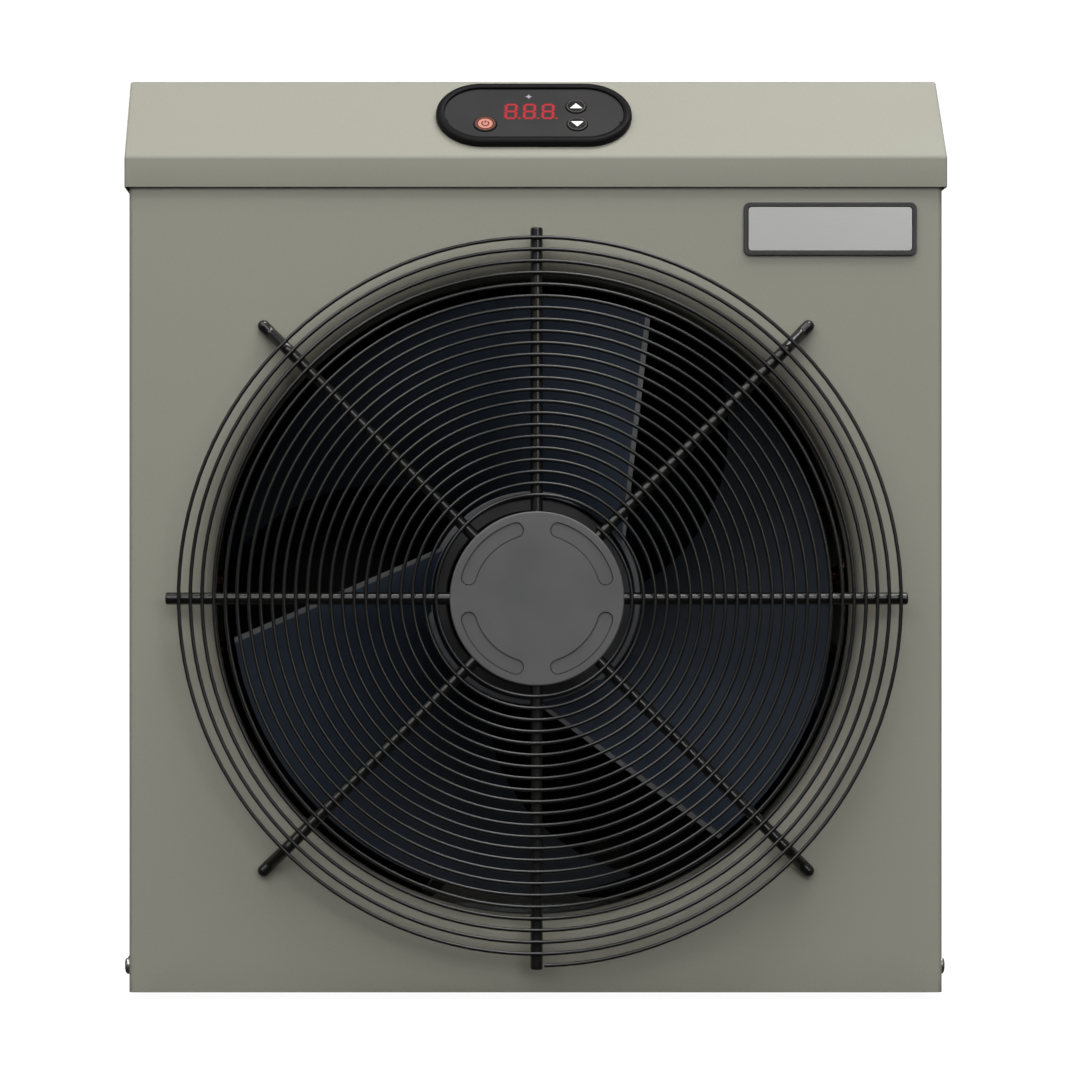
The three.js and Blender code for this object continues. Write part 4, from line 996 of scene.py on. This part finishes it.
def impeller():
    """The hub and three blades; the hub's front rim and the blades' straight edges are pale, a painted
    highlight.
    """
    low, high = box_mm("fan_impeller")
    rear = high.y - 1
    hub = [(HUB_RADIUS - 3.2, HUB_FRONT + 0.6), (HUB_RADIUS - 2.6, HUB_FRONT), (HUB_RADIUS - 0.6, HUB_FRONT)]
    hub += [(HUB_RADIUS, HUB_FRONT + 0.6), (HUB_RADIUS, rear), (HUB_RADIUS - 3.2, rear)]
    points, faces = lathe(hub, z=FAN_Z, sides=HUB_SIDES, closed=True)
    # Painted highlight: the hub's front faces and the strips along the blades' straight edges take the pale
    # finish.
    pale = list(range(HUB_SIDES, 3 * HUB_SIDES))
    for i in range(3):
        blade_points, blade_faces, strips = blade(i * TAU / 3, low.y, high.y)
        pale += [len(faces) + index for index in strips]
        points, faces = join_shapes((points, faces), (blade_points, blade_faces))
    fan = new_object("impeller", (points, faces), LOOKS["blade"], outward=False)
    fan.data.materials.append(LOOKS["painted_edge_highlight"])
    for index in pale:
        fan.data.polygons[index].material_index = 1
    edit_mesh(fan.data, face_outwards)
    shade(fan.data, 40)
    ridden(fan, "fan_impeller", "fan")


def motor():
    """The outer rotor, and the spigot that carries the motor."""
    low, high = box_mm("motor_rotor")
    radius = high.x
    lip = 43.2
    bell = [(lip, low.y + 0.8), (lip + 0.8, low.y), (radius - 0.8, low.y), (radius, low.y + 0.8)]
    bell += [(radius, high.y - 4), (radius - 1.2, high.y - 1.2), (radius - 4, high.y), (5, high.y)]
    bell += [(5, high.y - 7), (12, high.y - 7), (14, high.y - 3.5), (radius - 6, high.y - 3.5)]
    bell += [(radius - 3.5, high.y - 6), (radius - 3.5, low.y + 1.4), (lip, low.y + 1.4)]
    piece("rotor_bell", lathe(bell, z=FAN_Z, sides=120, closed=True), "motor", "motor_rotor", "fan")

    low, high = box_mm("motor_bracket")
    wide, neck, flange = 38, 29, 42
    spigot = [(0, low.y), (wide - 1, low.y), (wide, low.y + 1), (wide, low.y + 8), (neck + 1, low.y + 11.6)]
    spigot += [(neck, low.y + 13), (neck, high.y - 5.5), (neck + 1, high.y - 4.6), (flange - 1, high.y - 3)]
    spigot += [(flange, high.y - 2), (flange, high.y), (0, high.y)]
    piece("motor_spigot", lathe(spigot, z=FAN_Z, sides=96), "motor", "motor_bracket")


def shroud():
    """The duct between the mouth and the blades' tips."""
    low, high = box_mm("fan_shroud")
    ring = FRONT + MOUTH_DEPTH + 0.3
    bore, wall, skirt = 160.5, 2.5, 171.5
    outer, back = bore + wall, ring + wall
    profile = [(skirt, low.y), (skirt, ring), (bore + 1, ring), (bore, ring + 1), (bore, high.y)]
    profile += [(outer, high.y), (outer, back), (skirt + 2, back), (skirt + 2, low.y)]
    piece("shroud_duct", lathe(profile, z=FAN_Z, sides=160, closed=True), "black_plastic", "fan_shroud")


# ---------------- controls
BEZEL_LENGTH, BEZEL_WIDTH = 97.2, 46
FACE_LEVEL = 2.6
BUTTON_LEVEL = 3.2
BUTTONS = {
    "power_button": (-24.3, -8.5, 5.7),
    "up_button": (21, 5, 5.1),
    "down_button": (21.2, -8.6, 5.1),
}
DISPLAY_AT = (-1.8, 1.5)
DISPLAY_SIZE = (30, 16)
SNAP_MARKS = ((-43.4, -5.5), (42.6, -7.0))


def bezel():
    """A stadium frame with a rolled rim round a sunken face plate."""
    levels = [(0.2, 0.05), (0, 0.4), (0, 2.2)]
    levels += [(2.0 * (1 - c), 2.2 + 1.8 * s) for s, c in quarter_turn(6)[1:]]
    levels += [(3.4, 4.0), (3.9, 3.7), (4.0, 2.5), (4.0, -7), (6, -7), (6, 0.05)]
    inset = lambda d: stadium(BEZEL_LENGTH - 2 * d, BEZEL_WIDTH - 2 * d, 24)
    rim = stack([(inset(d), level) for d, level in levels], slope_place, closed=True)
    piece("bezel_frame", rim, "gloss_plastic", "control_bezel")

    holes = [plate(circle(r + 0.3, 48, u, v), -2, 6, slope_place) for u, v, r in BUTTONS.values()]
    holes += [plate(circle(0.8, 24, u, v), FACE_LEVEL - 0.7, 6, slope_place) for u, v in SNAP_MARKS]
    window = rounded_rectangle(DISPLAY_SIZE[0] + 0.4, DISPLAY_SIZE[1] + 0.4, 0.6, *DISPLAY_AT)
    holes.append(plate(window, -2, 6, slope_place))
    face = plate(inset(4.1), 1.4, FACE_LEVEL, slope_place)
    piece("bezel_face", face, "gloss_plastic", look="control_face", cuts=holes,
          edge=0.15, segments=2, degrees=50)


def button_caps():
    """Crowned caps, each with its flange under the face plate."""
    crown = 0.45
    for name, (u, v, radius) in BUTTONS.items():
        steps = [(radius + 0.7, -0.3), (radius + 0.7, 1.0), (radius, 1.0)]
        steps += [(radius - crown * (1 - c), BUTTON_LEVEL - crown + crown * s) for s, c in quarter_turn(4)]
        cap = stack([(circle(r, 64, u, v), level) for r, level in steps], slope_place)
        piece(name + "_cap", cap, "button", name, name)


def mark(name, shape, body, look):
    """A printed or lit mark, which rides with a button."""
    piece(name, shape, "button", body=body, look=look)


def raised(outline, height, level=BUTTON_LEVEL - 0.1):
    """A mark from just under the buttons' tops to a height above them."""
    return plate(outline, level, BUTTON_LEVEL + height, slope_place)


def band(radius, width, start, end, u, v, steps=48):
    """The outline of a curved stroke."""
    return arc(radius + width / 2, start, end, steps, u, v) + arc(radius - width / 2, end, start, steps, u, v)


def button_marks():
    """Arrows in thin rings, and a power sign on a lit disc."""
    for name, way in (("up_button", 1), ("down_button", -1)):
        u, v, radius = BUTTONS[name]
        triangle = [(u - 3.1, v - 1.7 * way), (u + 3.1, v - 1.7 * way), (u, v + 2.2 * way)]
        mark(name + "_arrow", raised(triangle, 0.08), name, "white_legend")
        mark(name + "_ring", raised(band(radius - 0.7, 0.35, 0, 359.9, u, v, 72), 0.04), name, "ring_legend")
    name = "power_button"
    u, v, radius = BUTTONS[name]
    mark(name + "_light", raised(circle(3.7, 48, u, v), 0.04), name, "power_light")
    mark(name + "_halo", raised(band(radius - 1.1, 0.9, 0, 359.9, u, v, 72), 0.04), name, "power_halo")
    glyph = join_shapes(
        raised(band(1.7, 0.6, 125, 415, u, v), 0.1, BUTTON_LEVEL),
        raised(rounded_rectangle(0.6, 1.9, 0.2, u, v + 1.3), 0.12, BUTTON_LEVEL),
    )
    mark(name + "_glyph", glyph, name, "power_glyph")


DIGIT_PITCH = 9.2
DIGIT_SIZE = (6.2, 11.8)
STROKE = 1.2
SLANT = 0.06


def display():
    """A tinted window with three lit seven-segment digits, and a status star above it."""
    u0, v0 = DISPLAY_AT
    lens = rounded_rectangle(DISPLAY_SIZE[0] + 1.2, DISPLAY_SIZE[1] + 1.2, 0.8, u0, v0)
    surface = FACE_LEVEL + 0.03
    lens_plate = plate(lens, FACE_LEVEL - 0.02, surface, slope_place)
    piece("display_lens", lens_plate, "display", "display_window")
    width, height = DIGIT_SIZE
    lean = lambda u, v: (u0 + u + SLANT * v, v0 + v)

    def stroke(a, b, thick, level):
        """One segment, pointed at both ends."""
        a, b = Vector(a), Vector(b)
        along = (b - a).normalized()
        side = Vector((-along.y, along.x)) * thick / 2
        near, far = a + along * STROKE / 2, b - along * STROKE / 2
        corners = [a + along * 0.12, near + side, far + side, b - along * 0.12, far - side, near - side]
        return plate([lean(*corner) for corner in corners], surface - 0.02, level, slope_place)

    def digits(thick, level):
        shapes = []
        for column in (-1, 0, 1):
            middle = column * DIGIT_PITCH - 0.4
            left, right = middle - (width - STROKE) / 2, middle + (width - STROKE) / 2
            top = (height - STROKE) / 2
            for a, b in (
                ((left, top), (right, top)), ((left, 0), (right, 0)), ((left, -top), (right, -top)),
                ((left, 0), (left, top)), ((right, 0), (right, top)),
                ((left, -top), (left, 0)), ((right, -top), (right, 0)),
            ):
                shapes.append(stroke(a, b, thick, level))
            dot = circle(0.46 * thick, 20, *lean(right + 1.9, -top))
            shapes.append(plate(dot, surface - 0.02, level, slope_place))
        return join_shapes(*shapes)

    piece("display_glow", digits(STROKE + 1.0, surface + 0.02), "display", look="display_glow")
    piece("display_digits", digits(STROKE, surface + 0.05), "display", look="lit_segment")

    star = []
    for i in range(16):
        reach = 2.0 if i % 4 == 0 else 1.2 if i % 2 == 0 else 0.7
        star.append((-2.3 + reach * math.cos(i * TAU / 16), 13.1 + reach * math.sin(i * TAU / 16)))
    star_plate = plate(star, FACE_LEVEL - 0.05, FACE_LEVEL + 0.05, slope_place)
    piece("status_star", star_plate, "display", look="dim_legend")


# ---------------- rear
WINDOW_SIZE = (310, 304)
WINDOW_Z = 232
DRAIN_X, DRAIN_Z, DRAIN_RADIUS = 20, 13.4, 6
PORT_RADIUS = 21
PAN_REAR = 125.1


def rear_guard():
    """Welded wire mesh over the coil."""
    low, high = box_mm("rear_guard")
    y = (low.y + high.y) / 2
    columns, rows, wire = 27, 8, 0.8
    rim, corner = 1.1, 6
    shapes = []
    for i in range(1, columns):
        x = low.x + (high.x - low.x) * i / columns
        shapes.append(sweep([(x, y + 0.35, low.z + 1), (x, y + 0.35, high.z - 1)], wire, 10))
    for j in range(1, rows):
        z = low.z + (high.z - low.z) * j / rows
        shapes.append(sweep([(low.x + 1, y - 0.35, z), (high.x - 1, y - 0.35, z)], wire, 10))
    left, right, foot, top = low.x + rim, high.x - rim, low.z + rim, high.z - rim
    corners = [(left, y, foot), (right, y, foot), (right, y, top), (left, y, top)]
    shapes.append(sweep(rounded_route(corners, corner, closed=True), rim, 12, closed=True))
    piece("rear_mesh", join_shapes(*shapes), "guard_wire", "rear_guard")


def rear_panel():
    """The rear sheet, its window and its holes."""
    low, high = box_mm("rear_panel")
    through = lambda outline: plate(outline, low.y - 5, high.y + 5, behind())
    holes = [through(rounded_rectangle(*WINDOW_SIZE, 6, 0, WINDOW_Z))]
    for node, radius in (("inlet_port", PORT_RADIUS), ("outlet_port", PORT_RADIUS), ("cable_gland", 8)):
        x, _, z = middle_mm(node)
        holes.append(through(circle(radius + 0.3, 48, x, z)))
    holes.append(through(circle(DRAIN_RADIUS + 0.4, 32, DRAIN_X, DRAIN_Z)))
    piece("rear_sheet", block(low, high), "paint", "rear_panel", cuts=holes, edge=0.3, segments=2, degrees=50)


FIN_PITCH = 2.0
FIN_WAVE = 1.15
COIL_PASSES = 8
COIL_PITCH = 40


def wavy_fin(x, low, high):
    """A thin corrugated sheet, so that the pack can't be seen through."""
    waves = 8
    half = 0.08
    deep = high.y - low.y
    steps = [(low.y + deep * i / waves, FIN_WAVE * (1 if i % 2 else -1)) for i in range(waves + 1)]
    near = [(x + shift - half, y) for y, shift in steps]
    far = [(x + shift + half, y) for y, shift in reversed(steps)]
    return plate(near + far, low.z, high.z, level_place)


def evaporator():
    """A pack of thin fins on one copper tube."""
    low, high = box_mm("evaporator_fins")
    margin = FIN_WAVE + 0.2
    count = int((high.x - low.x) / FIN_PITCH)
    places = [low.x + margin + (high.x - low.x - 2 * margin) * i / (count - 1) for i in range(count)]
    piece("fin_pack", join_shapes(*[wavy_fin(x, low, high) for x in places]), "fins", "evaporator_fins")

    y = (low.y + high.y) / 2
    first = (low.z + high.z - COIL_PITCH * (COIL_PASSES - 1)) / 2
    turn_x, stub_x = high.x + 3 + COIL_PITCH / 2, high.x + 8
    corners = []
    for i in range(COIL_PASSES):
        way = 1 if i % 2 else -1
        start = stub_x if i == 0 else -way * turn_x
        end = stub_x if i == COIL_PASSES - 1 else way * turn_x
        corners += [(start, y, first + i * COIL_PITCH), (end, y, first + i * COIL_PITCH)]
    tube = sweep(rounded_route(corners, COIL_PITCH / 2 - 0.2, 10), 4.5, 20)
    piece("coil_tube", tube, "copper", "evaporator_tube")


def water_union(name):
    """A threaded port, its union nut and its hose tail."""
    low, high = box_mm(name + "_port")
    x, _, z = middle_mm(name + "_port")
    bore, outer, flange = 14, PORT_RADIUS, 26
    port = [(bore, low.y), (outer, low.y), (outer, REAR - 1.2), (flange - 0.5, REAR - 1.2)]
    port += [(flange, REAR - 0.7), (flange, REAR + 2.5), (flange - 0.5, REAR + 3), (outer, REAR + 3)]
    thread = REAR + 5
    while thread < high.y - 3:
        port += [(outer - 0.7, thread), (outer, thread + 1)]
        thread += 2
    port += [(outer - 0.7, high.y - 0.6), (outer - 1.4, high.y), (bore + 0.6, high.y), (bore, high.y - 0.6)]
    piece(name + "_threaded_port", lathe(port, x, z, 72, closed=True), "water_plastic", name + "_port")

    nut_low, nut_high = box_mm(name + "_nut")
    bore, lip = 21.5, 15.3
    sides = 96
    lobes = []
    for i in range(sides):
        angle = i * TAU / sides
        radius = 26.2 + 0.8 * min(1, 1.6 * math.cos(8 * angle) + 0.4)
        lobes.append((radius * math.cos(angle), radius * math.sin(angle)))
    scaled = lambda s: [(u * s, v * s) for u, v in lobes]
    ring = lambda r: circle(r, sides)
    start, end = nut_low.y, nut_high.y
    levels = [(ring(bore), start), (scaled(0.95), start), (scaled(1.0), start + 1.4), (scaled(1.0), end - 3)]
    levels += [(scaled(0.96), end - 0.9), (scaled(0.9), end), (ring(lip + 1), end), (ring(lip), end - 1)]
    levels += [(ring(lip), end - 5), (ring(bore), end - 5)]
    nut = stack(levels, behind(x, 0, z), closed=True)
    piece(name + "_union_nut", nut, "black_plastic", name + "_nut", name + "_nut")

    low, high = box_mm(name + "_tail")
    neck = end + 4
    barb = (high.y - neck - 1) / 3
    bore, shoulder = 12.5, 20.5
    tail = [(bore, low.y), (shoulder - 0.5, low.y), (shoulder, low.y + 0.5), (shoulder, low.y + 3.4)]
    tail += [(15, low.y + 3.7), (15, neck)]
    for i in range(3):
        tail += [(15.6, neck + i * barb), (16, neck + i * barb + 0.5), (14.5, neck + (i + 0.95) * barb)]
    tail += [(14.1, high.y), (bore + 0.4, high.y), (bore, high.y - 0.4)]
    turned = lathe(tail, x, z, 72, closed=True)
    piece(name + "_hose_tail", turned, "water_plastic", name + "_tail", name + "_tail")


def cable_gland():
    """A hexagon with a blind dome."""
    low, high = box_mm("cable_gland")
    x, _, z = middle_mm("cable_gland")
    body, blind = 10.5, 4.5
    nut = plate(circle(12.5, 6), REAR - 1.2, REAR + 7, behind(x, 0, z))
    piece("gland_hexagon", nut, "black_plastic", "cable_gland", edge=0.7)
    dome = [(0, low.y), (8, low.y), (8, REAR), (body, REAR + 6), (body, REAR + 12)]
    dome += [(body - blind * (1 - c), REAR + 12 + 8 * s) for s, c in quarter_turn(6)[1:-1]]
    dome += [(5.6, high.y - 0.2), (4.6, high.y - 0.6), (4.4, high.y - 1.4), (0, high.y - 1.2)]
    piece("gland_dome", lathe(dome, x, z, 48), "black_plastic")


def base_and_feet():
    """The condensate pan with its spigot, and four rubber feet."""
    low, high = box_mm("base_pan")
    rear = PAN_REAR
    rectangle = lambda d: [
        (low.x + d, low.y + d), (high.x - d, low.y + d), (high.x - d, rear - d), (low.x + d, rear - d)
    ]
    rim, inner = rectangle(0), rectangle(SHEET)
    tray = stack([(rim, low.z), (rim, high.z), (inner, high.z), (inner, low.z + SHEET)], level_place)
    piece("condensate_pan", tray, "galvanised", "base_pan", edge=0.5)
    bore, outer = 4, DRAIN_RADIUS
    spigot = [(bore, rear - 3), (outer, rear - 3), (outer, high.y - 0.5), (outer - 0.5, high.y)]
    spigot += [(bore + 0.3, high.y), (bore, high.y - 0.4)]
    piece("drain_spigot", lathe(spigot, DRAIN_X, DRAIN_Z, 40, closed=True), "galvanised")
    pad = [(0, 0), (9.6, 0), (10.4, 0.25), (11.6, 1.2), (12, 2), (12, 5.1), (11.4, 5.7), (4, 5.7)]
    pad += [(4, 11), (0, 11)]
    for end in ("front", "rear"):
        for side, _ in SIDES:
            node = f"foot_{end}_{side}"
            x, y, _ = middle_mm(node)
            piece(node + "_pad", upright_lathe(pad, x, y), "rubber", node)


# ---------------- CAD nodes that stay
# Pipes and parts painted near-black: painted shade for the dark inside, seen through the fan.
PIPES_IN_PAINTED_SHADE = ("discharge_pipe", "suction_pipe", "liquid_pipe", "capillary_tube", "filter_drier")
PARTS_IN_PAINTED_SHADE = (
    "electrical_box", "electrical_box_cover", "evaporator_plate_left", "evaporator_plate_right",
    "compressor_terminal_cover", "accumulator", "run_capacitor", "heat_exchanger", "compressor",
)


def finish_cad_nodes():
    """Finishes for the pieces inside: the pipes and the parts behind the fan are painted near-black, as
    painted shade for the dark inside of the cabinet.
    """
    finishes = {part["node"]: part["material_slot"] for part in record["subparts"]}
    finishes.update({node: "painted_shade_pipe_black" for node in PIPES_IN_PAINTED_SHADE})
    finishes.update({node: "painted_shade_part_black" for node in PARTS_IN_PAINTED_SHADE})
    for node, thing in frame["nodes"].items():
        if thing.hide_render:
            continue
        thing.data.materials.clear()
        thing.data.materials.append(LOOKS[finishes[node]])
        shade(thing.data, 40)


camera()
lights()
world()
floor()

front_panel()
for side_name, side_sign in SIDES:
    side_panel(side_name, side_sign)
lid()
plaque()
side_screws()
rear_screws()

guard_spiral()
guard_spokes()
guard_disc()
impeller()
motor()
shroud()

bezel()
button_caps()
button_marks()
display()

rear_panel()
rear_guard()
evaporator()
water_union("inlet")
water_union("outlet")
cable_gland()
base_and_feet()

finish_cad_nodes()
